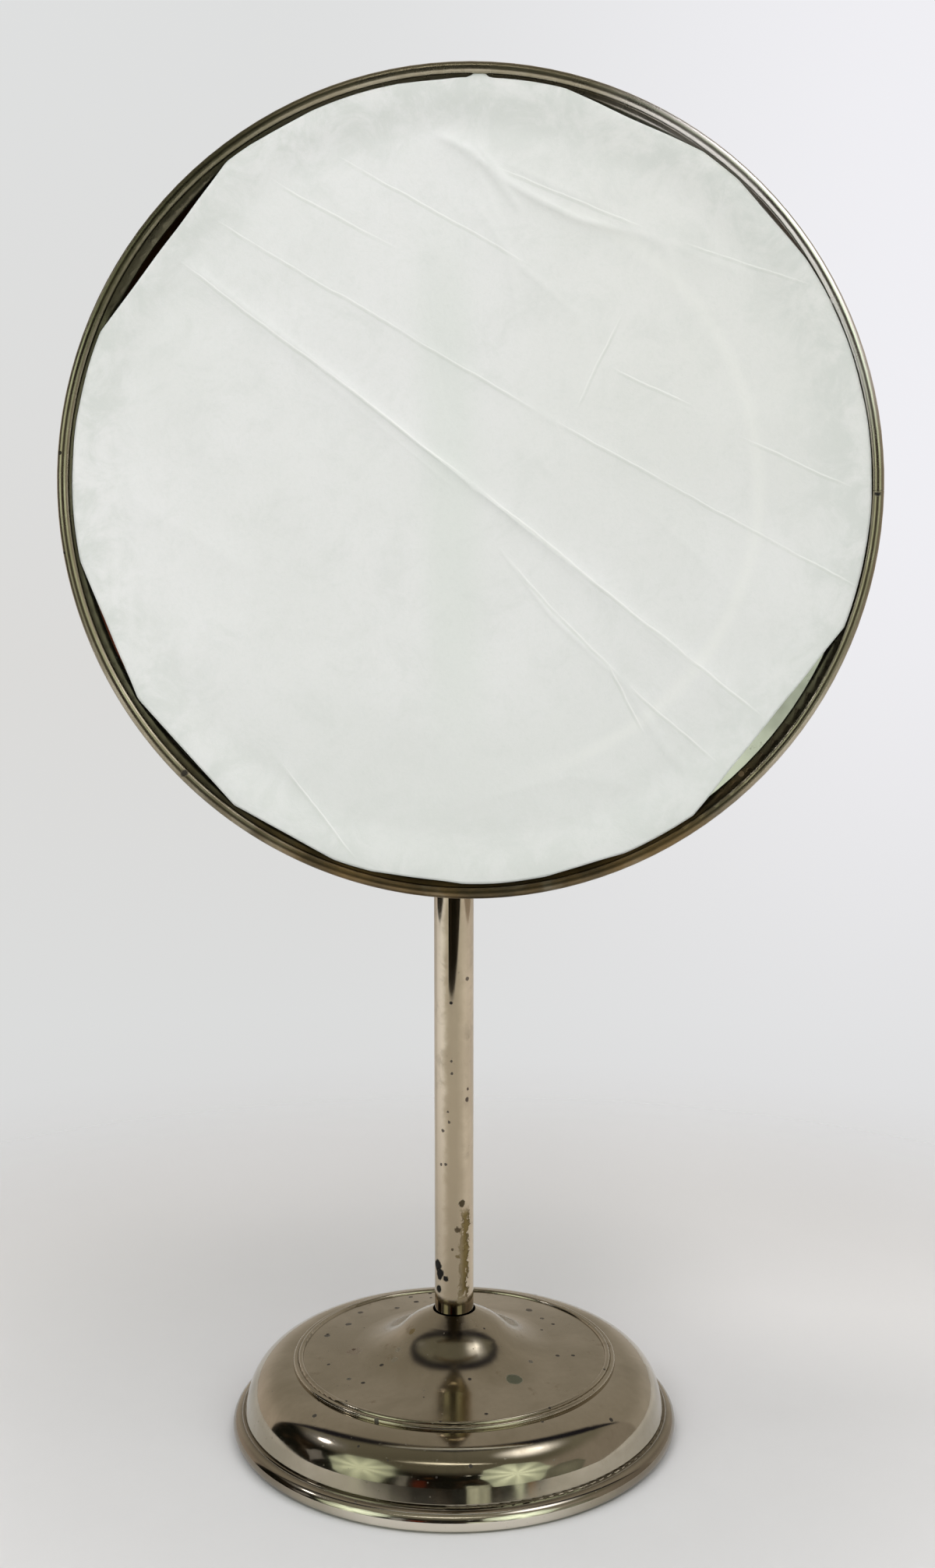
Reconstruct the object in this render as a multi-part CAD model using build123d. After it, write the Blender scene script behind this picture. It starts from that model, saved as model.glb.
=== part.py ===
from build123d import *
import math
import os

# Free-standing round pedestal mirror, millimetres, +Z up.
# Origin: the centre of the base's resting face. The stem's axis is Z and the glass faces -Y.

# ---------------------------------------------------------------- driving sizes
# Head: glass, rim and back
GLASS_R = 118.6
GLASS_T = 3.0
GLASS_GRIND = 0.5         # ground edge of the glass
GLASS_EDGE_GAP = 0.3      # radial room between the glass and the rim's side wall
RIM_SHEET = 0.6           # rim metal
RIM_BEAD_R = 1.75         # radius of the bead's round section
RIM_BEAD_PROUD = 1.4      # how far the bead stands out from the rim's side wall
LIP_WIDTH = 2.25          # lip that laps over the glass, inside the bead
LIP_FALL = 1.25           # how far the lip falls back to the glass
LIP_CROWN = (0.55, 0.3)   # top of the lip's curve, as shares of its width and fall
LIP_BEHIND_BEAD = 0.15    # the lip starts this far behind the bead's middle
RIM_EDGE_CUT = 0.3        # small chamfer round the rim's rear edge
RIM_SEAM = 0.12           # width of the open butt joint in the rim
CARD_T = 1.5
PAN_SHEET = 0.8
PAN_FLANGE = 5.5          # flat flange of the back pan, clamped by the rim
PAN_DEPTH = 5.0           # how far the pan stands out behind its flange
PAN_SLOPE = 5.5           # radial width of the pan's sloping side
PAN_BEND = 0.36           # how far the pan's inner corners lie inside its outer ones
PAN_EDGE_GAP = 0.15
CRIMP_WIDTH = 2.6         # rear edge of the rim, turned in over the pan
PACK_GAP = 0.05           # gap between the stacked discs in the rim

# Paper sheet laid over the glass
PAPER_INSET = 2.3         # the sheet is this much smaller in radius than the glass
PAPER_T = 0.25
PAPER_GAP = 0.35          # the sheet clears the lip by this
PAPER_SHIFT = (0.6, 0.3)  # right, up
# Straight snips: direction in degrees, depth inside the glass's edge
PAPER_CUTS = ((142.0, 6.2), (-38.0, 7.3), (201.8, 4.6), (221.4, 4.5), (66.3, 4.0))

# Hinge: tongue, lug and bolt, on a cross axis
PIVOT_Z = 300.9           # height of the tilt axis and of the glass's centre
PIVOT_TO_BEAD = 34.0      # from the tilt axis forward to the middle of the rim's bead
TONGUE_T = 6.0
TONGUE_HALF_WIDTH = 6.5
EYE_R = 8.0
LUG_T = 3.5
LUG_FLARE = 5.0           # extra half height of the lug where it meets its foot
FRICTION_WASHER_T = 0.5
FRICTION_WASHER_R = 7.6
FACE_GAP = 0.02           # between faces that rub
BOLT_R = 3.0
BOLT_HEAD_R = 5.6
BOLT_HEAD_T = 2.8
BOLT_HEAD_CHAMFER = 1.0
BOLT_SQUARE = 6.0         # square neck under the bolt's head
BOLT_TAIL = 1.6           # bolt end that stands out of the thumb nut
SPRING_WASHER_R = 5.6
SPRING_WASHER_T = 1.4
SPRING_WASHER_SLIT = 1.0
SPRING_WASHER_TWIST = 20  # degrees between the slit and the bolt's axis
NUT_KNURL_R = 8.4
NUT_KNURL_DEPTH = 0.55
NUT_KNURL_COUNT = 40
NUT_KNURL_T = 5.0
NUT_BOSS_R = 5.6
NUT_BOSS_T = 2.4
RUN_GAP = 0.05            # radial clearance of a running fit
FOOT_R = 20.0
FOOT_T = 2.5
FOOT_CHAMFER = 0.8
RIVET_CIRCLE_R = 14.5
RIVET_R = 1.6
RIVET_HEAD_R = 3.0
RIVET_HEAD_T = 1.5
RIVET_CROWN_R = 2.16      # upper step of the round head
RIVET_TAIL_R = 2.7
RIVET_TAIL_T = 0.8
BURR_R = 4.0
BURR_T = 0.6

# Swivel: knuckle spigot in the stem's top bush
COLLAR_DROP = 10.0        # tilt axis down to the top of the knuckle's collar
COLLAR_R = 8.2
COLLAR_T = 4.0
COLLAR_CHAMFER = 0.6
SPIGOT_R = 3.5
SPIGOT_LENGTH = 17.0
SPIGOT_END_GAP = 1.0      # room under the spigot in its bore
GROOVE_DROP = 12.0        # below the collar
GROOVE_HALF_WIDTH = 1.8
GROOVE_DEPTH = 0.9
BUSH_FLANGE_R = 7.4
BUSH_FLANGE_T = 2.5
BUSH_LENGTH = 30.0
SCREW_R = 1.5
SCREW_HEAD_R = 2.7
SCREW_HEAD_T = 1.7
SCREW_SLOT = 0.6
SCREW_TIP_GAP = 0.3

# Stem
STEM_R = 6.35
STEM_WALL = 1.0
STEM_FOOT_Z = 36.0
STEM_FOOT_ROUND = 0.7
ROD_R = 3.0
ROD_IN_BUSH = 9.0         # thread engaged in the top bush
FIT_GAP = 0.02            # radial gap of pushed-in and screwed-in pieces

# Base
BASE_R = 72.3             # outside of the rolled foot bead
BASE_BEAD_R = 3.1
BASE_SHEET = 0.9
BEAD_JOIN = 0.85          # from the bead's centre out to where the ridge meets the bead
RIDGE_CROWN = (0.75, 0.62)  # out from the dome's foot, down from it
RIDGE_OUT = 0.25          # from the bead's centre out to the ridge's outer corner
RIDGE_FALL = 1.25
SEAM_DEPTH = 0.5          # short upright wall between the dome and the ridge
DOME_R = 68.4             # radius of the dome's foot, above the bead
DOME_FOOT_Z = 7.6
DOME_TOP_Z = 22.1
DOME_SECTION_R = 13.9
DOME_LEAN = 15.0          # degrees the dome's side leans in above its foot
STEP_R = 49.0             # inner edge of the reeded step
REED_LEAD = 0.4           # narrow slope before the first reed
REED_LEAD_FALL = 0.1
REED_WIDTH = 1.75
REED_RISE = 0.6           # crown of the inner reed above the disc's edge
REED_VALLEY = 0.25        # valley between the reeds, below the disc's edge
OUTER_REED_WIDTH = 1.5
OUTER_REED_DROP = 0.05    # crown of the outer reed, below the disc's edge
OUTER_REED_LEAN = 0.2     # that crown, out from the reed's middle
DISC_EDGE_Z = 23.4
FLARE_R = 33.0            # where the disc begins to sweep up
FLARE_Z = 24.7
KNEE_R = 17.5             # where the sweep is steepest and turns from hollow to round
KNEE_SLOPE = 43.0         # degrees
NECK_R = 12.0             # from here in to the hole the base is a plain cone
NECK_SLOPE = 27.5         # degrees
HOLE_GAP = 0.65           # radial gap round the stem in the base's hole
FELT_T = 1.0
WEIGHT_GAP = 0.3          # between the weight and the base's bead
SHOULDER_GAP = 0.1        # between the weight's shoulder and the dome
BOSS_R = 7.6
ROD_HOLE_GAP = 0.25
BUSH_SEAT_T = 2.4         # flange of the foot bush
FOOT_SPIGOT_LENGTH = 8.0
WASHER_R = 8.0
WASHER_T = 1.5
NUT_ACROSS_FLATS = 10.0
NUT_T = 5.0
NUT_POCKET_R = 9.0
NUT_POCKET_DEPTH = 8.0
ROD_END_GAP = 1.0         # rod end above the felt
CUT_OVER = 1.0            # how far cutting shapes run past the metal

# ---------------------------------------------------------------- derived places
LUG_MID_X = TONGUE_T / 2 + FACE_GAP + FRICTION_WASHER_T + FACE_GAP + LUG_T / 2
LUG_X0 = LUG_MID_X - LUG_T / 2
LUG_X1 = LUG_MID_X + LUG_T / 2
FRONT_Y = -PIVOT_TO_BEAD - RIM_BEAD_R
RIM_WALL_IN = GLASS_R + GLASS_EDGE_GAP
RIM_WALL_OUT = RIM_WALL_IN + RIM_SHEET
RIM_R = RIM_WALL_OUT + RIM_BEAD_PROUD
PAPER_R = GLASS_R - PAPER_INSET
LIP_TOP = RIM_BEAD_R + LIP_BEHIND_BEAD
LIP_R = RIM_R - 2 * RIM_BEAD_R - LIP_WIDTH
GLASS_S = LIP_TOP + LIP_FALL + RIM_SHEET
CARD_S = GLASS_S + GLASS_T + PACK_GAP
PAN_S = CARD_S + CARD_T + PACK_GAP
CRIMP_S = PAN_S + PAN_SHEET + PACK_GAP
RIM_DEPTH = CRIMP_S + RIM_SHEET
PAN_R = RIM_WALL_IN - PAN_EDGE_GAP
PAN_BACK_S = PAN_S + PAN_SHEET + PAN_DEPTH
PAN_BACK_Y = FRONT_Y + PAN_BACK_S
FOOT_BACK_Y = PAN_BACK_Y + FOOT_T
COLLAR_TOP_Z = PIVOT_Z - COLLAR_DROP
COLLAR_BOTTOM_Z = COLLAR_TOP_Z - COLLAR_T
BUSH_TOP_Z = COLLAR_BOTTOM_Z - RUN_GAP
STEM_TOP_Z = BUSH_TOP_Z - BUSH_FLANGE_T
BUSH_BOTTOM_Z = STEM_TOP_Z - BUSH_LENGTH
GROOVE_Z = COLLAR_BOTTOM_Z - GROOVE_DROP
SPIGOT_BOTTOM_Z = COLLAR_BOTTOM_Z - SPIGOT_LENGTH
TUBE_IN_R = STEM_R - STEM_WALL
HOLE_R = STEM_R + HOLE_GAP
BOSS_TOP_Z = STEM_FOOT_Z - BUSH_SEAT_T
POCKET_TOP_Z = FELT_T + NUT_POCKET_DEPTH
ROD_BOTTOM_Z = FELT_T + ROD_END_GAP
ROD_TOP_Z = BUSH_BOTTOM_Z + ROD_IN_BUSH
DOME_COS = math.cos(math.radians(DOME_LEAN))
DOME_SIN = math.sin(math.radians(DOME_LEAN))
DOME_CENTRE_Z = DOME_TOP_Z - DOME_SECTION_R
DOME_SIDE_Z = DOME_CENTRE_Z + DOME_SECTION_R * DOME_SIN
DOME_SIDE_R = DOME_R - (DOME_SIDE_Z - DOME_FOOT_Z) * DOME_SIN / DOME_COS
DOME_CENTRE_R = DOME_SIDE_R - DOME_SECTION_R * DOME_COS
BEAD_CENTRE_R = BASE_R - BASE_BEAD_R
SKIRT_R = DOME_R - BASE_SHEET / DOME_COS
DISC_SLOPE = math.degrees(math.atan((FLARE_Z - DISC_EDGE_Z) / (STEP_R - FLARE_R)))

HEAD_AXIS = Axis((LUG_MID_X, 0, PIVOT_Z), (0, 1, 0))
# Section of the head: first coordinate is the radius, second the depth behind the rim's front.
HEAD_SECTION = Plane(origin=(LUG_MID_X, FRONT_Y, PIVOT_Z), x_dir=(0, 0, 1), z_dir=(-1, 0, 0))


# ---------------------------------------------------------------- helpers
def closed_face(*edges):
    """Face inside a closed chain of edges."""
    return make_face([edge for part in edges for edge in part.edges()])


def polygon_face(points):
    """Face inside a closed polygon."""
    return make_face(Polyline(*points, close=True).edges())


def turned_z(face):
    """Solid of revolution about the stem's axis, from a (radius, height) face."""
    return revolve(Plane.XZ * face, axis=Axis.Z)


def turned_head(face):
    """Solid of revolution about the head's axis, from a (radius, depth) face."""
    return revolve(HEAD_SECTION * face, axis=HEAD_AXIS)


def ring_z(inner, outer, low, high):
    """Plain ring or disc about the stem's axis."""
    return turned_z(polygon_face([(inner, low), (outer, low), (outer, high), (inner, high)]))


def ring_head(inner, outer, front, back):
    """Plain ring or disc about the head's axis."""
    return turned_head(polygon_face([(inner, front), (outer, front), (outer, back), (inner, back)]))


def disc_x(low, high, radius, y=0.0, z=PIVOT_Z):
    """Cylinder along X between two places."""
    return Pos((low + high) / 2, y, z) * Rot(0, 90, 0) * Cylinder(radius, high - low)


def save(shape, name):
    """Write one named piece."""
    shape.label = name
    export_step(shape, os.path.join("parts", name + ".step"))


# ---------------------------------------------------------------- base
def dome_point(radius, turn):
    """Point of the dome's round section; turn is in radians up from level."""
    return (DOME_CENTRE_R + radius * math.cos(turn), DOME_CENTRE_Z + radius * math.sin(turn))


def dome_arc(radius, low):
    """The dome's round section from its side, low radians up from level, to its top."""
    middle = (low + math.pi / 2) / 2
    return ThreePointArc(dome_point(radius, low), dome_point(radius, middle), dome_point(radius, math.pi / 2))


def inward(degrees):
    """Direction towards the stem that climbs at a slope."""
    return (-math.cos(math.radians(degrees)), math.sin(math.radians(degrees)))


def sweep(depth):
    """Line of the base from the disc up to the stem's hole, at a depth under the outer face."""
    def sunk(radius, height, degrees):
        turn = math.radians(degrees)
        return (radius - depth * math.sin(turn), height - depth * math.cos(turn))

    knee_z = FLARE_Z + (FLARE_R - KNEE_R) * math.tan(math.radians((DISC_SLOPE + KNEE_SLOPE) / 2))
    neck_z = knee_z + (KNEE_R - NECK_R) * math.tan(math.radians((KNEE_SLOPE + NECK_SLOPE) / 2))
    foot = sunk(FLARE_R, FLARE_Z, DISC_SLOPE)
    knee = sunk(KNEE_R, knee_z, KNEE_SLOPE)
    neck = sunk(NECK_R, neck_z, NECK_SLOPE)
    hole = (HOLE_R, neck[1] + (neck[0] - HOLE_R) * math.tan(math.radians(NECK_SLOPE)))
    edges = (
        TangentArc(foot, knee, tangent=inward(DISC_SLOPE)),
        TangentArc(knee, neck, tangent=inward(KNEE_SLOPE)),
        Line(neck, hole),
    )
    return edges, foot, hole


def reeds():
    """Outer line of the base from the disc out over the two reeds to the dome's top."""
    step = (STEP_R, DISC_EDGE_Z)
    reed_1 = (STEP_R + REED_LEAD, DISC_EDGE_Z - REED_LEAD_FALL)
    reed_2 = (reed_1[0] + REED_WIDTH, DISC_EDGE_Z - REED_VALLEY)
    reed_end = (reed_2[0] + OUTER_REED_WIDTH, DOME_TOP_Z)
    crown_1 = (reed_1[0] + REED_WIDTH / 2, DISC_EDGE_Z + REED_RISE)
    crown_2 = (reed_2[0] + OUTER_REED_WIDTH / 2 + OUTER_REED_LEAN, DISC_EDGE_Z - OUTER_REED_DROP)
    return (
        Line((FLARE_R, FLARE_Z), step),
        Line(step, reed_1),
        ThreePointArc(reed_1, crown_1, reed_2),
        ThreePointArc(reed_2, crown_2, reed_end),
        Line(reed_end, (DOME_CENTRE_R, DOME_TOP_Z)),
    )


def foot_bead():
    """Outer line of the ridge and the rolled bead, from the dome's foot round to the inner skirt."""
    seam = (DOME_R, DOME_FOOT_Z - SEAM_DEPTH)
    crown = (DOME_R + RIDGE_CROWN[0], DOME_FOOT_Z - RIDGE_CROWN[1])
    ridge = (BEAD_CENTRE_R + RIDGE_OUT, DOME_FOOT_Z - RIDGE_FALL)
    join = (BEAD_CENTRE_R + BEAD_JOIN, BASE_BEAD_R + math.sqrt(BASE_BEAD_R ** 2 - BEAD_JOIN ** 2))
    inside = SKIRT_R - BEAD_CENTRE_R
    skirt = (SKIRT_R, BASE_BEAD_R + math.sqrt(BASE_BEAD_R ** 2 - inside ** 2))
    return (
        Line((DOME_R, DOME_FOOT_Z), seam),
        ThreePointArc(seam, crown, ridge),
        Line(ridge, join),
        ThreePointArc(join, (BASE_R, BASE_BEAD_R), (BEAD_CENTRE_R, 0)),
        ThreePointArc((BEAD_CENTRE_R, 0), (BEAD_CENTRE_R - BASE_BEAD_R, BASE_BEAD_R), skirt),
        Line(skirt, (SKIRT_R, DOME_FOOT_Z)),
    )


def base_shell():
    """Spun cover: rolled bead, rounded dome with a leaning side, reeded step and a sweep up to the stem."""
    lean = math.radians(DOME_LEAN)
    inner_r = DOME_SECTION_R - BASE_SHEET
    outer_sweep, _, outer_hole = sweep(0)
    inner_sweep, inner_foot, inner_hole = sweep(BASE_SHEET)
    face = closed_face(
        *outer_sweep,
        *reeds(),
        dome_arc(DOME_SECTION_R, lean),
        Line(dome_point(DOME_SECTION_R, lean), (DOME_R, DOME_FOOT_Z)),
        *foot_bead(),
        Line((SKIRT_R, DOME_FOOT_Z), dome_point(inner_r, lean)),
        dome_arc(inner_r, lean),
        Line((DOME_CENTRE_R, DOME_TOP_Z - BASE_SHEET), inner_foot),
        *inner_sweep,
        Line(inner_hole, outer_hole),
    )
    return turned_z(face)


def base_weight():
    """Cast ring that fills the dome, with a boss under the stem and a pocket for the nut."""
    weight_r = BEAD_CENTRE_R - BASE_BEAD_R - WEIGHT_GAP
    shoulder_r = DOME_SECTION_R - BASE_SHEET - SHOULDER_GAP
    shoulder = math.acos((weight_r - DOME_CENTRE_R) / shoulder_r)
    top_z = DOME_CENTRE_Z + shoulder_r
    hole_r = ROD_R + ROD_HOLE_GAP
    face = closed_face(
        Line((NUT_POCKET_R, FELT_T), (weight_r, FELT_T)),
        Line((weight_r, FELT_T), dome_point(shoulder_r, shoulder)),
        dome_arc(shoulder_r, shoulder),
        Polyline((DOME_CENTRE_R, top_z), (BOSS_R, top_z), (BOSS_R, BOSS_TOP_Z), (hole_r, BOSS_TOP_Z),
                 (hole_r, POCKET_TOP_Z), (NUT_POCKET_R, POCKET_TOP_Z), (NUT_POCKET_R, FELT_T)),
    )
    return turned_z(face)


def felt_pad():
    """Felt disc glued under the weight: the face the mirror rests on."""
    return ring_z(0, BEAD_CENTRE_R - BASE_BEAD_R - WEIGHT_GAP, 0, FELT_T)


def rod_washer():
    return ring_z(ROD_R + ROD_HOLE_GAP, WASHER_R, POCKET_TOP_Z - WASHER_T, POCKET_TOP_Z)


def rod_nut():
    """Hexagon nut that draws the rod, the stem and the weight together."""
    top_z = POCKET_TOP_Z - WASHER_T
    hexagon = RegularPolygon(NUT_ACROSS_FLATS / 2, 6, major_radius=False)
    body = extrude(Pos(0, 0, top_z - NUT_T) * hexagon, NUT_T)
    return body - Pos(0, 0, top_z - NUT_T / 2) * Cylinder(ROD_R + FIT_GAP, NUT_T)


# ---------------------------------------------------------------- stem
def tie_rod():
    return ring_z(0, ROD_R, ROD_BOTTOM_Z, ROD_TOP_Z)


def foot_bush():
    """Turned bush that stands on the weight's boss and centres the stem."""
    bore = ROD_R + ROD_HOLE_GAP
    spigot = TUBE_IN_R - FIT_GAP
    flange = STEM_R - STEM_FOOT_ROUND
    top_z = STEM_FOOT_Z + FOOT_SPIGOT_LENGTH
    return turned_z(polygon_face([
        (bore, BOSS_TOP_Z), (flange, BOSS_TOP_Z), (flange, STEM_FOOT_Z),
        (spigot, STEM_FOOT_Z), (spigot, top_z), (bore, top_z),
    ]))


def stem_tube():
    """Drawn tube with a rounded foot and a hole for the swivel screw."""
    body = ring_z(TUBE_IN_R, STEM_R, STEM_FOOT_Z, STEM_TOP_Z)
    foot_edge = body.edges().filter_by(GeomType.CIRCLE).sort_by(Axis.Z)[:2].sort_by(SortBy.RADIUS)[-1]
    body = fillet(foot_edge, STEM_FOOT_ROUND)
    hole = Pos(0, STEM_R, GROOVE_Z) * Rot(90, 0, 0) * Cylinder(SCREW_R + ROD_HOLE_GAP, 2 * STEM_R)
    return body - hole


def top_bush():
    """Turned bush in the top of the stem: bored for the swivel, tapped for the rod and the screw."""
    body_r = TUBE_IN_R - FIT_GAP
    bore_r = SPIGOT_R + RUN_GAP
    bore_z = SPIGOT_BOTTOM_Z - SPIGOT_END_GAP
    body = turned_z(polygon_face([
        (bore_r, bore_z), (bore_r, BUSH_TOP_Z), (BUSH_FLANGE_R, BUSH_TOP_Z), (BUSH_FLANGE_R, STEM_TOP_Z),
        (body_r, STEM_TOP_Z), (body_r, BUSH_BOTTOM_Z), (ROD_R + FIT_GAP, BUSH_BOTTOM_Z),
        (ROD_R + FIT_GAP, bore_z),
    ]))
    return body - Pos(0, STEM_R, GROOVE_Z) * Rot(90, 0, 0) * Cylinder(SCREW_R + FIT_GAP, 2 * STEM_R)


def swivel_screw():
    """Slotted screw whose tip runs in the spigot's groove."""
    tip_y = SPIGOT_R - GROOVE_DEPTH + SCREW_TIP_GAP
    seat_y = STEM_R + FACE_GAP
    shank = Pos(0, (tip_y + seat_y) / 2, GROOVE_Z) * Rot(90, 0, 0) * Cylinder(SCREW_R, seat_y - tip_y)
    head = Pos(0, seat_y + SCREW_HEAD_T / 2, GROOVE_Z) * Rot(90, 0, 0) * Cylinder(SCREW_HEAD_R, SCREW_HEAD_T)
    slot = Pos(0, seat_y + SCREW_HEAD_T, GROOVE_Z) * Box(3 * SCREW_HEAD_R, SCREW_HEAD_T, SCREW_SLOT)
    return shank + head - slot


# ---------------------------------------------------------------- swivel and hinge
def swivel_knuckle():
    """Spigot with a retaining groove, collar, and a flat tongue bored for the hinge bolt."""
    groove_r = SPIGOT_R - GROOVE_DEPTH
    round_part = turned_z(polygon_face([
        (0, SPIGOT_BOTTOM_Z), (SPIGOT_R, SPIGOT_BOTTOM_Z),
        (SPIGOT_R, GROOVE_Z - GROOVE_HALF_WIDTH), (groove_r, GROOVE_Z - GROOVE_HALF_WIDTH),
        (groove_r, GROOVE_Z + GROOVE_HALF_WIDTH), (SPIGOT_R, GROOVE_Z + GROOVE_HALF_WIDTH),
        (SPIGOT_R, COLLAR_BOTTOM_Z), (COLLAR_R - COLLAR_CHAMFER, COLLAR_BOTTOM_Z),
        (COLLAR_R, COLLAR_BOTTOM_Z + COLLAR_CHAMFER), (COLLAR_R, COLLAR_TOP_Z - COLLAR_CHAMFER),
        (COLLAR_R - COLLAR_CHAMFER, COLLAR_TOP_Z), (0, COLLAR_TOP_Z),
    ]))
    web_low = COLLAR_TOP_Z - COLLAR_T / 2
    web = Pos(0, 0, (web_low + PIVOT_Z) / 2) * Box(TONGUE_T, 2 * TONGUE_HALF_WIDTH, PIVOT_Z - web_low)
    eye = disc_x(-TONGUE_T / 2, TONGUE_T / 2, EYE_R)
    bore = disc_x(-TONGUE_T, TONGUE_T, BOLT_R + RUN_GAP)
    return round_part + web + eye - bore


def friction_washer():
    """Fibre washer between the tongue and the lug."""
    low = TONGUE_T / 2 + FACE_GAP
    high = low + FRICTION_WASHER_T
    bore = disc_x(low - CUT_OVER, high + CUT_OVER, BOLT_R + 2 * RUN_GAP)
    return disc_x(low, high, FRICTION_WASHER_R) - bore


def tilt_bracket():
    """Round foot with a flat lug. The lug's square heel meets the collar at full tilt."""
    foot = ring_head(0, FOOT_R, PAN_BACK_S, PAN_BACK_S + FOOT_T)
    foot = chamfer(foot.edges().filter_by(GeomType.CIRCLE).sort_by(Axis.Y)[-1], FOOT_CHAMFER)
    root_y = FOOT_BACK_Y - FOOT_T / 2
    flare_y = FOOT_BACK_Y + LUG_FLARE
    side = [
        (root_y, -EYE_R - LUG_FLARE), (FOOT_BACK_Y, -EYE_R - LUG_FLARE), (flare_y, -EYE_R), (0, -EYE_R),
        (0, 0), (EYE_R, 0), (EYE_R, EYE_R), (flare_y, EYE_R), (FOOT_BACK_Y, EYE_R + LUG_FLARE),
        (root_y, EYE_R + LUG_FLARE),
    ]
    lug_plane = Plane(origin=(LUG_X0, 0, PIVOT_Z), x_dir=(0, 1, 0), z_dir=(1, 0, 0))
    lug = extrude(lug_plane * polygon_face(side), LUG_T)
    eye = disc_x(LUG_X0, LUG_X1, EYE_R)
    neck = BOLT_SQUARE + 2 * RUN_GAP
    square_hole = Pos(LUG_MID_X, 0, PIVOT_Z) * Box(2 * LUG_T, neck, neck)
    holes = rivet_set(RIVET_R + RUN_GAP, PAN_BACK_S - CUT_OVER, PAN_BACK_S + FOOT_T + CUT_OVER)
    return foot + lug + eye - square_hole - holes


def rivet_set(radius, front, back):
    """Four cylinders on the rivet circle, between two depths behind the rim's front."""
    group = None
    for index in range(4):
        angle = math.radians(45 + 90 * index)
        centre = Pos(LUG_MID_X + RIVET_CIRCLE_R * math.cos(angle), FRONT_Y + (front + back) / 2,
                     PIVOT_Z + RIVET_CIRCLE_R * math.sin(angle))
        peg = centre * Rot(90, 0, 0) * Cylinder(radius, back - front)
        group = peg if group is None else group + peg
    return group


def bracket_rivets():
    """Four rivets: shank, low round head behind the foot, flat head on the washer inside the pan."""
    inside = PAN_BACK_S - PAN_SHEET - BURR_T
    outside = PAN_BACK_S + FOOT_T
    return (rivet_set(RIVET_R, inside - RIVET_TAIL_T, outside + RIVET_HEAD_T / 2)
            + rivet_set(RIVET_TAIL_R, inside - RIVET_TAIL_T, inside)
            + rivet_set(RIVET_HEAD_R, outside, outside + RIVET_HEAD_T / 2)
            + rivet_set(RIVET_CROWN_R, outside, outside + RIVET_HEAD_T))


def rivet_washers():
    """Small washers under the rivets, inside the pan."""
    back = PAN_BACK_S - PAN_SHEET
    holes = rivet_set(RIVET_R + RUN_GAP, back - BURR_T - CUT_OVER, back + CUT_OVER)
    return rivet_set(BURR_R, back - BURR_T, back) - holes


def hinge_bolt():
    """Bolt with a round head and a square neck held in the lug."""
    nut_end = nut_face_x() - NUT_KNURL_T - NUT_BOSS_T
    head = disc_x(LUG_X1 + FACE_GAP, LUG_X1 + FACE_GAP + BOLT_HEAD_T, BOLT_HEAD_R)
    head = chamfer(head.edges().filter_by(GeomType.CIRCLE).sort_by(Axis.X)[-1], BOLT_HEAD_CHAMFER)
    neck_place = Pos(LUG_MID_X + FACE_GAP, 0, PIVOT_Z)
    neck = neck_place * Box(LUG_T - 2 * FACE_GAP, BOLT_SQUARE, BOLT_SQUARE)
    shank = disc_x(nut_end - BOLT_TAIL, LUG_X1 + FACE_GAP, BOLT_R)
    return head + neck + shank


def nut_face_x():
    """Where the thumb nut's inner face lies."""
    return -(TONGUE_T / 2 + SPRING_WASHER_T + 2 * FACE_GAP)


def spring_washer():
    """Split spring washer under the thumb nut."""
    high = -TONGUE_T / 2 - FACE_GAP
    low = high - SPRING_WASHER_T
    ring = disc_x(low, high, SPRING_WASHER_R)
    ring = ring - disc_x(low - CUT_OVER, high + CUT_OVER, BOLT_R + 3 * RUN_GAP)
    slit_place = Pos((low + high) / 2, 0, PIVOT_Z + SPRING_WASHER_R / 2 + CUT_OVER)
    slit = Box(3 * SPRING_WASHER_T, SPRING_WASHER_SLIT, SPRING_WASHER_R + CUT_OVER)
    return ring - slit_place * Rot(0, 0, SPRING_WASHER_TWIST) * slit


def thumb_nut():
    """Round thumb nut with a knurled edge and a smaller boss."""
    face_x = nut_face_x()
    outline = []
    for index in range(2 * NUT_KNURL_COUNT):
        angle = math.pi * index / NUT_KNURL_COUNT
        radius = NUT_KNURL_R - NUT_KNURL_DEPTH * (index % 2)
        outline.append((radius * math.cos(angle), radius * math.sin(angle)))
    nut_plane = Plane(origin=(face_x - NUT_KNURL_T, 0, PIVOT_Z), x_dir=(0, 1, 0), z_dir=(1, 0, 0))
    knurl = extrude(nut_plane * polygon_face(outline), NUT_KNURL_T)
    outer_x = face_x - NUT_KNURL_T - NUT_BOSS_T
    boss = disc_x(outer_x, face_x - NUT_KNURL_T, NUT_BOSS_R)
    return knurl + boss - disc_x(outer_x - CUT_OVER, face_x + CUT_OVER, BOLT_R + FIT_GAP)


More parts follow.
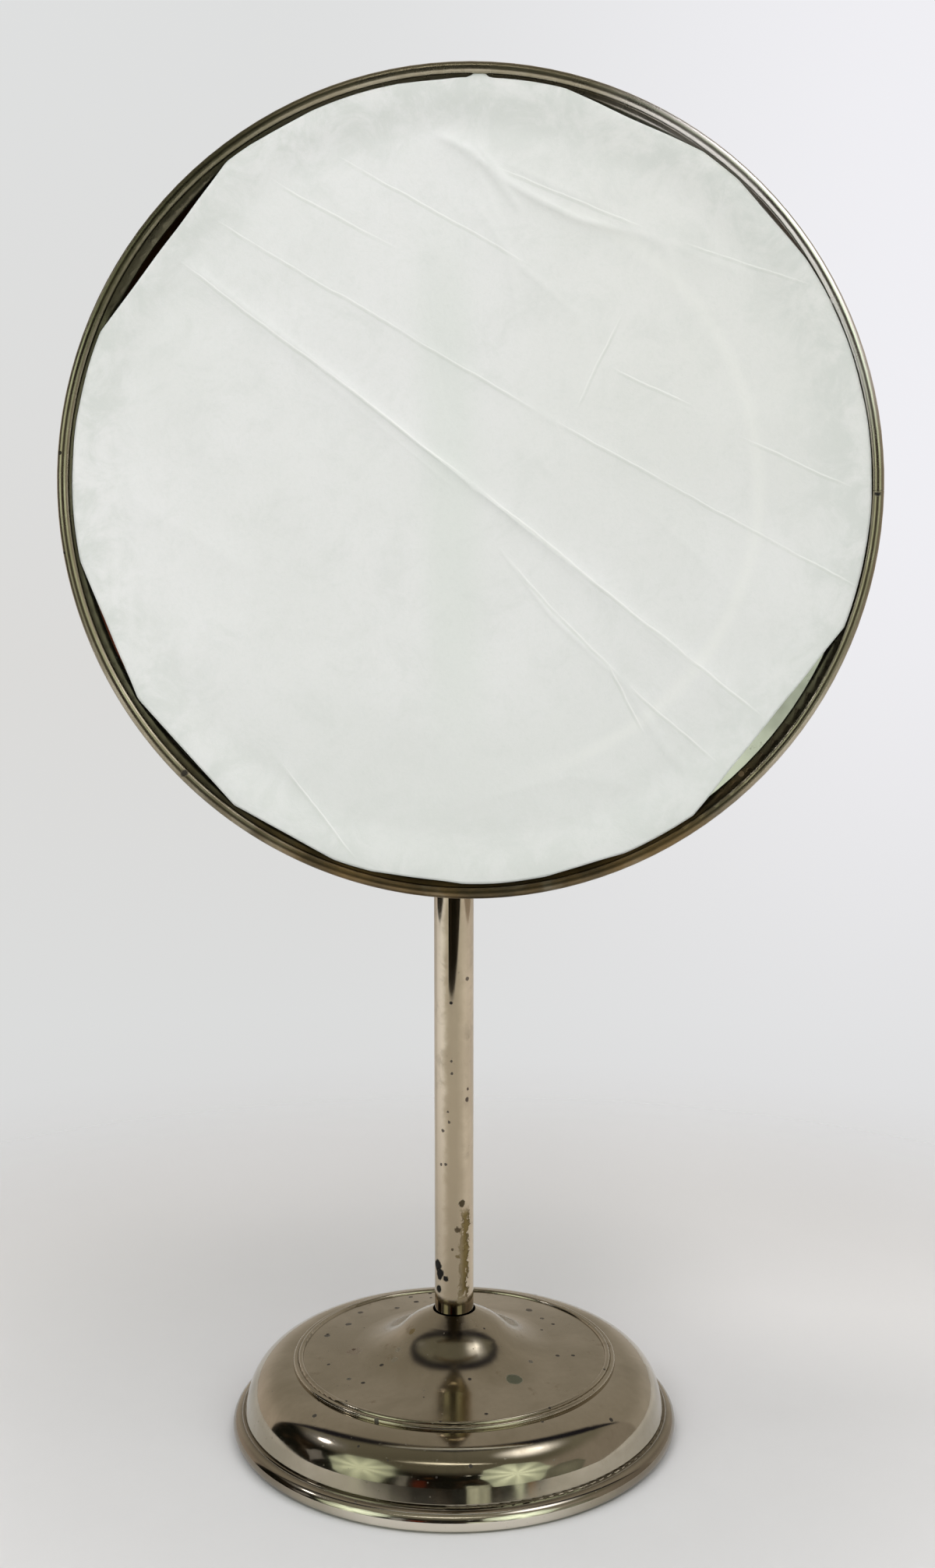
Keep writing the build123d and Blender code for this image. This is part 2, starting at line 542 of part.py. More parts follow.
# ---------------------------------------------------------------- head
def rim():
    """Rolled rim: round bead, lip over the glass, side wall and a crimped rear edge, with its seam."""
    bead_r = RIM_R - RIM_BEAD_R
    bead = Pos(bead_r, RIM_BEAD_R) * Circle(RIM_BEAD_R)
    crease_r = RIM_R - 2 * RIM_BEAD_R
    crown = (crease_r - LIP_WIDTH * LIP_CROWN[0], LIP_TOP + LIP_FALL * LIP_CROWN[1])
    lip = closed_face(
        Line((bead_r, LIP_TOP), (crease_r, LIP_TOP)),
        ThreePointArc((crease_r, LIP_TOP), crown, (LIP_R, GLASS_S - RIM_SHEET)),
        Line((LIP_R, GLASS_S - RIM_SHEET), (LIP_R, GLASS_S - PACK_GAP)),
        Line((LIP_R, GLASS_S - PACK_GAP), (bead_r, GLASS_S - PACK_GAP)),
        Line((bead_r, GLASS_S - PACK_GAP), (bead_r, LIP_TOP)),
    )
    wall = polygon_face([
        (RIM_WALL_IN, RIM_BEAD_R), (RIM_WALL_OUT, RIM_BEAD_R), (RIM_WALL_OUT, RIM_DEPTH - RIM_EDGE_CUT),
        (RIM_WALL_OUT - RIM_EDGE_CUT, RIM_DEPTH), (RIM_WALL_IN, RIM_DEPTH),
    ])
    crimp = polygon_face([
        (RIM_WALL_IN - CRIMP_WIDTH, CRIMP_S), (RIM_WALL_OUT - RIM_EDGE_CUT, CRIMP_S),
        (RIM_WALL_OUT - RIM_EDGE_CUT, RIM_DEPTH), (RIM_WALL_IN - CRIMP_WIDTH, RIM_DEPTH),
    ])
    ring = turned_head(bead + lip + wall + crimp)
    reach = 2 * (RIM_R - LIP_R)
    seam_place = Pos(LUG_MID_X + RIM_R - reach / 4, FRONT_Y + RIM_DEPTH / 2, PIVOT_Z)
    return ring - seam_place * Box(reach, 2 * RIM_DEPTH, RIM_SEAM)


def mirror_glass():
    """Silvered plate glass with a small ground edge."""
    back = GLASS_S + GLASS_T
    return turned_head(polygon_face([
        (0, GLASS_S), (GLASS_R - GLASS_GRIND, GLASS_S), (GLASS_R, GLASS_S + GLASS_GRIND),
        (GLASS_R, back - GLASS_GRIND), (GLASS_R - GLASS_GRIND, back), (0, back),
    ]))


def backing_card():
    return ring_head(0, GLASS_R, CARD_S, CARD_S + CARD_T)


def back_pan():
    """Pressed back with a flat flange and a raised field that carries the bracket."""
    flange_r = PAN_R - PAN_FLANGE
    field_r = flange_r - PAN_SLOPE
    behind = PAN_S + PAN_SHEET
    pan = turned_head(polygon_face([
        (0, PAN_BACK_S), (field_r, PAN_BACK_S), (flange_r, behind), (PAN_R, behind), (PAN_R, PAN_S),
        (flange_r - PAN_BEND, PAN_S), (field_r - PAN_BEND, PAN_BACK_S - PAN_SHEET),
        (0, PAN_BACK_S - PAN_SHEET),
    ]))
    return pan - rivet_set(RIVET_R + RUN_GAP, PAN_BACK_S - PAN_SHEET - CUT_OVER, PAN_BACK_S + CUT_OVER)


def paper_cover():
    """Thin sheet laid over the glass, cut roughly round with straight snips."""
    back = LIP_TOP - PAPER_GAP
    centre = (LUG_MID_X + PAPER_SHIFT[0], FRONT_Y + back - PAPER_T / 2, PIVOT_Z + PAPER_SHIFT[1])
    sheet = Pos(*centre) * Rot(90, 0, 0) * Cylinder(PAPER_R, PAPER_T)
    for degrees, depth in PAPER_CUTS:
        angle = math.radians(degrees)
        reach = GLASS_R - depth + PAPER_R / 2
        place = Pos(LUG_MID_X + reach * math.cos(angle), centre[1], PIVOT_Z + reach * math.sin(angle))
        sheet = sheet - place * Rot(0, -degrees, 0) * Box(PAPER_R, 4 * PAPER_T, 2 * PAPER_R)
    return sheet


# ---------------------------------------------------------------- write the pieces
PIECES = (
    base_shell, base_weight, felt_pad, rod_washer, rod_nut,
    tie_rod, foot_bush, stem_tube, top_bush, swivel_screw,
    swivel_knuckle, friction_washer, spring_washer, thumb_nut, hinge_bolt,
    tilt_bracket, bracket_rivets, rivet_washers,
    rim, mirror_glass, backing_card, back_pan, paper_cover,
)

os.makedirs("parts", exist_ok=True)
for piece in PIECES:
    save(piece(), piece.__name__)
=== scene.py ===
"""Looks of the pedestal mirror: materials, the creased paper over the glass, floor, light and camera."""
import math

import bpy
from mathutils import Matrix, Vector, noise

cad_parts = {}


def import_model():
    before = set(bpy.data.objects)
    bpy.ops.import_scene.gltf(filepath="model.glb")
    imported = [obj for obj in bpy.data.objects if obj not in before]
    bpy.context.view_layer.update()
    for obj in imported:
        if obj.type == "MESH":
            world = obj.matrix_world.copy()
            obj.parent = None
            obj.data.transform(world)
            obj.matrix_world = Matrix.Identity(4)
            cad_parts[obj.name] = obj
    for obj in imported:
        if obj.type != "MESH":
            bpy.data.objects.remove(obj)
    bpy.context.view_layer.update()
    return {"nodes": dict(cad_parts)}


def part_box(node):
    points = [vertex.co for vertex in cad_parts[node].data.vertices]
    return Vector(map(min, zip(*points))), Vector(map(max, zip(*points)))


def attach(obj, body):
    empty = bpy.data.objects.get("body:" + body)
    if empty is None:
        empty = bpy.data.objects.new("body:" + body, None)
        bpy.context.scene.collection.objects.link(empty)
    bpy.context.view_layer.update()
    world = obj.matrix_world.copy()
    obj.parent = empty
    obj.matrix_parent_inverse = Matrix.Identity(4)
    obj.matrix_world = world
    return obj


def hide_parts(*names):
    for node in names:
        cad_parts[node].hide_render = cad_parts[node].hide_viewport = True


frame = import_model()
NODES = frame["nodes"]
MM = 0.001

# ---------------------------------------------------------------- places read from the frame
GLASS_LOW, GLASS_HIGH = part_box("mirror_glass")
RIM_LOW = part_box("rim")[0]
STEM_LOW, STEM_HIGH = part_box("stem_tube")
HEAD_X = (GLASS_LOW.x + GLASS_HIGH.x) / 2
HEAD_Z = (GLASS_LOW.z + GLASS_HIGH.z) / 2
STEM_R = (STEM_HIGH.x - STEM_LOW.x) / 2

# ---------------------------------------------------------------- camera, light and floor
CAMERA_AT = (4.37 * MM, -541.65 * MM, 268.2 * MM)
CAMERA_DOWN = 6.03          # degrees below level
CAMERA_LENS = 39.35         # mm on a 36 mm long side
# Table top in metres: its front edge lies askew, and the paper on it runs further forward at the left.
FLOOR_CORNERS = [(0.9, -0.845), (0.9, 1.3), (-0.9, 1.3), (-0.9, -1.5), (-0.33, -0.56)]
FLOOR_SOLID_R = 0.20        # round the stem the floor is fully seen
FLOOR_FADE_R = 0.46         # and from here the camera sees the backdrop
LAMP_AIM = (0.0, 0.0, 0.12)     # the lamps shine at the lower stem
SOFT_AIM = (0.0, 0.0, 0.2)
SOFT_WATTS = 13.2
HAIRLINE_FADE = 12.0 * MM   # a hairline crease fades out over this length at each end


class Graph:
    """Adds shader nodes and joins them."""

    def __init__(self, tree):
        self.tree = tree

    def feed(self, socket, value):
        if isinstance(value, bpy.types.NodeSocket):
            self.tree.links.new(value, socket)
        else:
            socket.default_value = value

    def add(self, kind, inputs=None, **settings):
        made = self.tree.nodes.new("ShaderNode" + kind)
        for name, value in settings.items():
            setattr(made, name, value)
        for key, value in (inputs or {}).items():
            self.feed(made.inputs[key], value)
        return made

    def math(self, operation, a, b=0.0, clamp=False):
        return self.add("Math", {0: a, 1: b}, operation=operation, use_clamp=clamp).outputs[0]

    def times(self, first, *rest):
        for factor in rest:
            first = self.math("MULTIPLY", first, factor)
        return first

    def plus(self, a, b):
        return self.math("ADD", a, b)

    def minus(self, a, b):
        return self.math("SUBTRACT", a, b)

    def size(self, value):
        """The value without its sign."""
        return self.math("ABSOLUTE", value)

    def length(self, a, b):
        """Length of the line whose two legs are a and b."""
        return self.math("SQRT", self.plus(self.times(a, a), self.times(b, b)))

    def split(self, vector):
        """X, Y and Z of a vector."""
        return tuple(self.add("SeparateXYZ", {0: vector}).outputs)

    def mix(self, factor, a, b):
        return self.add("Mix", {0: factor, 6: a, 7: b}, data_type="RGBA").outputs[2]

    def range(self, value, low, high, to_low=0.0, to_high=1.0):
        inputs = {0: value, 1: low, 2: high, 3: to_low, 4: to_high}
        return self.add("MapRange", inputs, interpolation_type="SMOOTHSTEP").outputs[0]

    def noise(self, vector, scale, detail=4.0, roughness=0.55, distortion=0.0):
        inputs = {"Vector": vector, "Scale": scale, "Detail": detail, "Roughness": roughness,
                  "Distortion": distortion}
        return self.add("TexNoise", inputs).outputs[0]

    def ramp(self, factor, stops):
        made = self.add("ValToRGB", {0: factor})
        while len(made.color_ramp.elements) < len(stops):
            made.color_ramp.elements.new(0.5)
        for element, (place, colour) in zip(made.color_ramp.elements, stops):
            element.position = place
            element.color = (*colour, 1.0)
        return made.outputs[0]

    def spot(self, vector, centre, radius, ragged, wobble):
        """1 inside a ragged patch round a point, 0 outside."""
        away = self.add("VectorMath", {0: vector, 1: centre}, operation="DISTANCE").outputs["Value"]
        away = self.plus(away, self.times(self.minus(wobble, 0.5), ragged))
        return self.range(away, radius, radius * 0.75)

    def stroke(self, vector, start, end, width, wander):
        """Signed distance to a line in the XZ plane as -1..1 over its width, and 1 along its length."""
        run = Vector((end[0] - start[0], 0.0, end[1] - start[1]))
        length = run.length
        run.normalize()
        side = Vector((-run.z, 0.0, run.x))
        origin = (start[0], 0.0, start[1])
        offset = self.add("VectorMath", {0: vector, 1: origin}, operation="SUBTRACT").outputs[0]
        along, across = (
            self.add("VectorMath", {0: offset, 1: tuple(way)}, operation="DOT_PRODUCT").outputs["Value"]
            for way in (run, side))
        across = self.math("DIVIDE", self.plus(across, wander), width)
        fade = min(HAIRLINE_FADE, 0.25 * length)
        span = self.times(self.range(along, 0.0, fade), self.range(along, length, length - fade))
        return across, span


def rgba(colour):
    return (*colour, 1.0)


def new_material(name):
    material = bpy.data.materials.new(name)
    material.use_nodes = True
    material.node_tree.nodes.clear()
    graph = Graph(material.node_tree)
    place = graph.add("TexCoord").outputs["Object"]
    return material, graph, place


def finish_material(graph, shader):
    output = graph.add("OutputMaterial")
    graph.tree.links.new(shader.outputs[0], output.inputs["Surface"])


def bump(graph, height, strength, distance):
    return graph.add("Bump", {"Height": height, "Strength": strength, "Distance": distance}).outputs[0]


def dress(node, material):
    """Gives a CAD node its finish."""
    slots = NODES[node].data.materials
    slots.clear()
    slots.append(material)


# ---------------------------------------------------------------- metals
# Pits in the plate: cells per metre, share of the cells that hold one, least size and spread in cells.
PIT_CELLS = 210.0
PIT_SHARE = 0.16
PIT_SIZE, PIT_SPREAD = 0.05, 0.16
PIT_BITE = 0.8              # how far a pit or freckle loses its metal shine


def nickel(name, bright, dull, dark, roughness, pit_density=0.5, spots=(), cloud=28.0, relief=0.1,
           extra=None):
    """Old nickel plate: cloudy tarnish, fine pits, hairline scratches, then the piece's stains and chips."""
    material, g, place = new_material(name)
    clouds = g.noise(place, cloud, 6.0, 0.62, 0.3)
    fine = g.noise(place, 420.0, 3.0, 0.6)
    film = g.range(clouds, 0.36, 0.66)
    colour = g.mix(film, rgba(dull), rgba(bright))
    speckle = g.range(fine, 0.30, 0.72)
    colour = g.mix(g.times(speckle, 0.22), colour, rgba(dull))
    pit_cells = g.add("TexVoronoi", {"Vector": place, "Scale": PIT_CELLS, "Randomness": 1.0}, feature="F1")
    pit_pick = g.add("SeparateColor", {0: pit_cells.outputs["Color"]})
    pit_size = g.times(pit_pick.outputs[1], PIT_SPREAD)
    chosen = g.math("LESS_THAN", pit_pick.outputs[0], pit_density * PIT_SHARE)
    near = g.math("LESS_THAN", pit_cells.outputs["Distance"], g.plus(pit_size, PIT_SIZE))
    pits = g.times(chosen, near)
    freckles = g.times(g.range(g.noise(place, 900.0, 2.0), 0.70, 0.78), g.range(clouds, 0.62, 0.46))
    marks = g.math("MAXIMUM", pits, g.times(freckles, 0.65 * pit_density))
    colour = g.mix(marks, colour, rgba(dark))
    rough = g.range(clouds, 0.35, 0.70, roughness[1], roughness[0])
    rough = g.plus(rough, g.times(marks, 0.35))
    wobble = g.noise(place, 420.0, 5.0, 0.72)
    if extra is not None:
        colour, rough = extra(g, place, colour, rough, wobble)
    metal = g.minus(1.0, g.times(marks, PIT_BITE))
    for centre, radius, ragged, tint, strength, roughen in spots:
        mask = g.times(g.spot(place, centre, radius, ragged, wobble), strength)
        colour = g.mix(mask, colour, rgba(tint))
        metal = g.math("MINIMUM", metal, g.minus(1.0, g.times(mask, 0.9)))
        rough = g.plus(rough, g.times(mask, roughen))
    stretched = g.add("Mapping", {0: place, 3: (1.0, 1.0, 0.12)}).outputs[0]
    scratches = g.noise(stretched, 1600.0, 2.0)
    height = g.minus(g.times(scratches, 0.05), marks)
    height = g.plus(height, g.times(g.noise(place, 60.0, 3.0), 0.35))
    normal = bump(g, height, relief, 0.0003)
    shader = g.add("BsdfPrincipled", {"Base Color": colour, "Roughness": g.math("MINIMUM", rough, 0.9),
                                      "Normal": normal, "Metallic": metal, "Specular IOR Level": 0.2})
    finish_material(g, shader)
    return material


def stem_point(height_mm, degrees):
    """Point on the stem's surface, with the angle from the front, positive to the right."""
    turn = math.radians(degrees)
    return (STEM_R * math.sin(turn), -STEM_R * math.cos(turn), height_mm * MM)


CHIP = (0.012, 0.011, 0.010)
OLIVE = (0.13, 0.088, 0.030)
DARK_PIT = (0.05, 0.04, 0.035)
BROWN_PIT = (0.05, 0.04, 0.03)
STEM_SPOTS = [
    # centre, radius, ragged edge, colour, strength, added roughness
    (stem_point(54.0, -58), 0.0022, 0.0024, CHIP, 1.0, 0.6),
    (stem_point(51.4, -48), 0.0021, 0.0026, CHIP, 1.0, 0.6),
    (stem_point(50.2, -27), 0.0013, 0.0022, CHIP, 1.0, 0.6),
    (stem_point(46.2, -52), 0.0014, 0.0016, CHIP, 1.0, 0.6),
    (stem_point(75.6, 24), 0.0012, 0.0034, (0.05, 0.035, 0.015), 0.95, 0.5),
    (stem_point(67.0, 10), 0.0011, 0.0034, (0.06, 0.04, 0.02), 0.9, 0.5),
    (stem_point(60.5, -4), 0.0006, 0.0026, (0.06, 0.04, 0.02), 0.9, 0.4),
    (stem_point(58.0, 10), 0.0006, 0.0030, OLIVE, 0.8, 0.4),
    (stem_point(88.0, -42), 0.0005, 0.0020, DARK_PIT, 0.9, 0.3),
    (stem_point(88.4, -24), 0.0004, 0.0020, DARK_PIT, 0.9, 0.3),
    (stem_point(99.5, -34), 0.0006, 0.0018, DARK_PIT, 0.9, 0.3),
    (stem_point(102.5, -14), 0.0005, 0.0018, DARK_PIT, 0.9, 0.3),
    (stem_point(106.0, -18), 0.0005, 0.0018, DARK_PIT, 0.9, 0.3),
    (stem_point(118.5, -6), 0.0005, 0.0016, DARK_PIT, 0.9, 0.3),
    (stem_point(122.5, -7), 0.0005, 0.0016, DARK_PIT, 0.9, 0.3),
    (stem_point(141.5, -8), 0.0006, 0.0006, CHIP, 1.0, 0.3),
    (stem_point(113.0, 44), 0.0006, 0.0018, (0.05, 0.03, 0.025), 0.9, 0.3),
    (stem_point(109.5, 42), 0.0008, 0.0018, (0.05, 0.03, 0.025), 0.9, 0.3),
    (stem_point(149.0, 42), 0.0006, 0.0020, (0.09, 0.07, 0.06), 0.8, 0.3),
]


# The stem's tarnish and the painted shade at its foot, in metres.
STAIN_FOOT = (0.041, 0.046)     # height over which the long stain starts
STAIN_TOP = (0.075, 0.071)      # and over which it ends
STAIN_MIDDLE = 0.055            # height at which it stands STAIN_SIDE to the right of the axis
STAIN_SIDE = 0.0031
STAIN_LEAN = -0.03              # minus its run to the right per height
STAIN_HALF = (0.0016, 0.0012)   # half width, from clean to stained
SHADOWED_FOOT = (0.0425, 0.0405)


def stem_extra(g, place, colour, rough, _wobble):
    """The stem's painted reflections, a pale band at the left and a dark band down the front, the long brown
    stain above its foot, and painted shade at the foot.
    """
    x, y, z = g.split(place)
    mottle = g.noise(place, 130.0, 5.0, 0.65, 0.4)
    shifted = g.plus(x, g.times(g.minus(mottle, 0.5), 0.0030))
    front = g.range(y, 0.001, -0.001)
    # painted reflections on the stem's front: a cream band at the left (pale) and a dark band down the middle
    # (middle)
    pale = g.times(g.range(x, -0.0060, -0.0050), g.range(shifted, -0.0018, -0.0040), front)
    middle = g.times(g.range(shifted, -0.0044, -0.0010), g.range(shifted, 0.0046, 0.0006), front)
    upper = g.range(z, 0.070, 0.130)
    colour = g.mix(g.times(pale, g.range(z, 0.03, 0.12, 0.45, 1.0)), colour, rgba((0.84, 0.74, 0.60)))
    colour = g.mix(g.times(middle, g.range(upper, 0.0, 1.0, 0.85, 0.72)), colour, rgba((0.27, 0.225, 0.15)))
    colour = g.mix(g.times(g.range(mottle, 0.50, 0.72), 0.40), colour, rgba((0.30, 0.25, 0.18)))
    # the stain: a ragged band with holes, darker at its edges
    along = g.times(g.range(z, *STAIN_FOOT), g.range(z, *STAIN_TOP))
    swing = g.times(g.minus(g.noise(place, 330.0, 6.0, 0.75, 0.3), 0.5), 0.0062)
    lean = g.times(g.minus(z, STAIN_MIDDLE), STAIN_LEAN)
    reach = g.size(g.plus(g.plus(x, swing), g.minus(lean, STAIN_SIDE)))
    holes = g.range(g.noise(place, 240.0, 4.0, 0.7), 0.36, 0.43)
    front_only = g.times(g.range(y, -0.0005, -0.002), along)
    stain = g.times(g.range(reach, *STAIN_HALF), holes, front_only)
    edge = g.times(stain, g.range(reach, 0.0006, 0.0012))
    colour = g.mix(g.times(stain, 0.94), colour, rgba((0.20, 0.145, 0.05)))
    colour = g.mix(g.times(edge, 0.55), colour, rgba((0.045, 0.032, 0.012)))
    lower = g.times(g.range(z, 0.170, 0.060, 0.0, 0.55), g.range(x, 0.0036, 0.0020))
    colour = g.mix(lower, colour, rgba((0.40, 0.325, 0.225)))
    colour = g.mix(g.times(g.range(z, *SHADOWED_FOOT), 0.55), colour, rgba((0.17, 0.14, 0.10)))
    return colour, g.plus(rough, g.times(stain, 0.35))


def base_point(radius_mm, degrees, height_mm):
    """Point on the base, with the angle from the front, positive to the right."""
    turn = math.radians(degrees)
    return (radius_mm * MM * math.sin(turn), -radius_mm * MM * math.cos(turn), height_mm * MM)


BASE_SPOTS = [
    (base_point(31.0, 38, 24.9), 0.0030, 0.0018, (0.040, 0.048, 0.026), 0.9, 0.2),
    (base_point(15.5, -62, 33.2), 0.0013, 0.0018, (0.12, 0.08, 0.025), 0.9, 0.3),
    (base_point(21.0, -58, 28.8), 0.0013, 0.0022, (0.10, 0.08, 0.05), 0.6, 0.2),
    (base_point(24.0, -52, 27.1), 0.0012, 0.0020, (0.10, 0.08, 0.05), 0.6, 0.2),
    (base_point(44.0, -104, 23.9), 0.0012, 0.0012, (0.04, 0.035, 0.03), 0.9, 0.3),
    (base_point(41.0, -118, 24.0), 0.0013, 0.0012, (0.04, 0.035, 0.03), 0.9, 0.3),
    (base_point(44.0, -132, 23.9), 0.0012, 0.0014, BROWN_PIT, 0.9, 0.3),
    (base_point(38.0, -148, 24.2), 0.0011, 0.0012, BROWN_PIT, 0.9, 0.3),
    (base_point(46.0, -160, 23.8), 0.0010, 0.0012, BROWN_PIT, 0.9, 0.3),
    (base_point(40.0, 140, 24.0), 0.0014, 0.0022, BROWN_PIT, 0.9, 0.3),
    (base_point(38.0, 128, 24.1), 0.0009, 0.0012, BROWN_PIT, 0.9, 0.3),
    (base_point(33.0, -84, 24.7), 0.0030, 0.0030, (0.11, 0.07, 0.04), 0.6, 0.15),
    (base_point(42.0, -74, 24.0), 0.0007, 0.0007, CHIP, 0.9, 0.3),
    (base_point(40.0, -56, 24.1), 0.0009, 0.0008, CHIP, 0.8, 0.3),
    (base_point(28.0, 62, 25.6), 0.0010, 0.0009, (0.06, 0.05, 0.04), 0.8, 0.3),
    (base_point(52.4, -26, 22.6), 0.0010, 0.0010, CHIP, 0.8, 0.3),
    (base_point(59.0, -46, 21.3), 0.0009, 0.0008, CHIP, 0.9, 0.3),
    (base_point(54.0, 30, 22.1), 0.0006, 0.0006, CHIP, 0.9, 0.3),
]


# Heights on the base in metres, each from clean to marked.
DISC_EDGE = (0.0222, 0.0234)    # the flat disc inside the dome
GROOVE_SHADE_UNDER = (0.0058, 0.0064)   # painted shade in the groove between the dome and the foot bead
GROOVE_SHADE_OVER = (0.0078, 0.0072)
BEAD_TOP = (0.0062, 0.0054)     # the foot bead
COLLAR_RUST = (0.0322, 0.0345)  # rust in front of the stem's bush


def base_extra(g, place, colour, rough, wobble):
    """Brown blooms on a duller disc, painted shade in the groove above the foot bead, a painted highlight on
    the bead's front and painted shade on its sides, and rust.
    """
    x, y, z = g.split(place)
    disc = g.range(z, *DISC_EDGE)
    bloom = g.range(g.noise(place, 95.0, 5.0, 0.7), 0.60, 0.72)
    bloom = g.times(bloom, g.range(disc, 0.0, 1.0, 0.25, 0.55), 0.9)
    colour = g.mix(bloom, colour, rgba((0.20, 0.15, 0.085)))
    # painted shade in the groove between the dome and the foot bead
    groove_shade = g.times(g.range(z, *GROOVE_SHADE_UNDER), g.range(z, *GROOVE_SHADE_OVER))
    colour = g.mix(g.times(groove_shade, 0.6), colour, rgba((0.09, 0.075, 0.05)))
    sideways = g.size(x)
    bead = g.range(z, *BEAD_TOP)
    # painted highlight on the front of the foot bead
    front = g.times(bead, g.range(y, -0.030, -0.062), g.range(sideways, 0.046, 0.020))
    colour = g.mix(front, colour, rgba((0.78, 0.72, 0.62)))
    # painted shade on the sides of the foot bead
    flank = g.times(bead, g.range(sideways, 0.040, 0.056), 0.8)
    colour = g.mix(flank, colour, rgba((0.23, 0.195, 0.15)))
    streak = g.range(g.minus(sideways, g.times(wobble, 0.004)), 0.0015, -0.0005)
    rust = g.times(streak, g.range(z, *COLLAR_RUST), g.range(y, -0.004, -0.008))
    colour = g.mix(g.times(rust, 0.75), colour, rgba((0.05, 0.035, 0.018)))
    return colour, g.plus(rough, g.times(disc, 0.055))


RIM_LIP = (0.1178, 0.1172)      # distance from the glass's middle, in metres: the lip is inside it


def rim_extra(g, place, colour, rough, wobble):
    """Olive tarnish at the upper left, a painted highlight at the upper right, painted shade on the lip,
    plate lost lower down.
    """
    x, _, z = g.split(place)
    across, upward = g.minus(x, HEAD_X), g.minus(z, HEAD_Z)
    olive = g.times(g.range(across, -0.035, -0.075), g.range(upward, 0.015, 0.055))
    olive = g.times(olive, g.range(wobble, 0.3, 0.7, 0.95, 0.70))
    colour = g.mix(olive, colour, rgba((0.15, 0.14, 0.085)))
    # painted highlight: the plate at the upper right is coloured near white
    painted_highlight = g.times(g.range(across, 0.030, 0.060), g.range(upward, 0.005, 0.040))
    colour = g.mix(g.times(painted_highlight, 0.85), colour, rgba((0.93, 0.90, 0.87)))
    # painted shade on the lip, heavier lower down and lighter under the painted highlight
    shaded = g.minus(g.range(upward, 0.02, -0.03, 0.45, 0.85), g.times(painted_highlight, 0.4))
    lip = g.times(g.range(g.length(across, upward), *RIM_LIP), g.math("MAXIMUM", shaded, 0.0))
    colour = g.mix(lip, colour, rgba((0.055, 0.048, 0.035)))
    patch = g.range(g.noise(place, 34.0, 5.0, 0.6), 0.34, 0.62)
    brown = g.mix(patch, rgba((0.045, 0.033, 0.014)), rgba((0.20, 0.125, 0.045)))
    low = g.range(z, HEAD_Z - 0.060, HEAD_Z - 0.112)
    lost = g.times(low, g.range(g.noise(place, 48.0, 4.0, 0.5), 0.25, 0.50))
    colour = g.mix(g.times(lost, 0.88), colour, brown)
    return colour, g.plus(rough, g.times(lost, 0.12))


def steel(name):
    """Plain steel with a little rust."""
    material, g, place = new_material(name)
    grain = g.noise(place, 700.0, 4.0)
    colour = g.mix(g.range(grain, 0.3, 0.7), rgba((0.30, 0.29, 0.27)), rgba((0.48, 0.47, 0.44)))
    rust = g.range(g.noise(place, 160.0, 5.0, 0.7), 0.60, 0.70)
    colour = g.mix(g.times(rust, 0.7), colour, rgba((0.16, 0.075, 0.035)))
    rough = g.range(grain, 0.3, 0.7, 0.46, 0.30)
    shader = g.add("BsdfPrincipled", {"Base Color": colour, "Roughness": rough, "Metallic": 1.0,
                                      "Normal": bump(g, grain, 0.12, 0.0002)})
    finish_material(g, shader)
    return material


def brass(name):
    """Dull brass, clouded."""
    material, g, place = new_material(name)
    clouds = g.noise(place, 240.0, 5.0)
    colour = g.mix(g.range(clouds, 0.35, 0.65), rgba((0.30, 0.19, 0.07)), rgba((0.55, 0.38, 0.16)))
    rough = g.range(clouds, 0.3, 0.7, 0.42, 0.26)
    shader = g.add("BsdfPrincipled", {"Base Color": colour, "Roughness": rough, "Metallic": 1.0,
                                      "Normal": bump(g, clouds, 0.15, 0.0003)})
    finish_material(g, shader)
    return material


def japanned(name):
    """Dark baked varnish on sheet, with orange peel and rubbed freckles."""
    material, g, place = new_material(name)
    clouds = g.noise(place, 22.0, 5.0, 0.6)
    colour = g.mix(g.range(clouds, 0.3, 0.7), rgba((0.020, 0.016, 0.013)), rgba((0.045, 0.034, 0.026)))
    rub = g.times(g.range(g.noise(place, 330.0, 5.0, 0.75), 0.64, 0.74), g.range(clouds, 0.45, 0.65))
    colour = g.mix(rub, colour, rgba((0.17, 0.13, 0.09)))
    peel = g.noise(place, 520.0, 2.0)
    rough = g.plus(g.range(clouds, 0.3, 0.7, 0.28, 0.42), g.times(rub, 0.3))
    shader = g.add("BsdfPrincipled", {"Base Color": colour, "Roughness": rough, "Coat Weight": 0.5,
                                      "Coat Roughness": 0.15, "Normal": bump(g, peel, 0.18, 0.0004)})
    finish_material(g, shader)
    return material


def silvered(name):
    """Old looking glass: clear middle, foxing towards the edge, and a painted dark reflection at the upper
    left.
    """
    material, g, place = new_material(name)
    x, _, z = g.split(place)
    across, upward = g.minus(x, HEAD_X), g.minus(z, HEAD_Z)
    edge = g.range(g.length(across, upward), 0.100, 0.119)
    spots = g.range(g.noise(place, 150.0, 6.0, 0.7), 0.56, 0.66)
    fox = g.times(spots, edge, 0.45)
    colour = g.mix(fox, rgba((0.80, 0.83, 0.78)), rgba((0.12, 0.10, 0.07)))
    # painted dark reflection: the glass at the upper left is coloured near black, a little less where the
    # foxing spots are
    bare = g.times(g.range(across, -0.050, -0.062), g.range(upward, 0.020, 0.034))
    bare = g.times(bare, g.range(spots, 0.0, 1.0, 0.96, 0.80))
    colour = g.mix(bare, colour, rgba((0.02, 0.013, 0.009)))
    rough = g.plus(g.times(fox, 0.4), 0.015)
    shader = g.add("BsdfPrincipled", {"Base Color": colour, "Roughness": rough, "Metallic": 1.0})
    finish_material(g, shader)
    return material


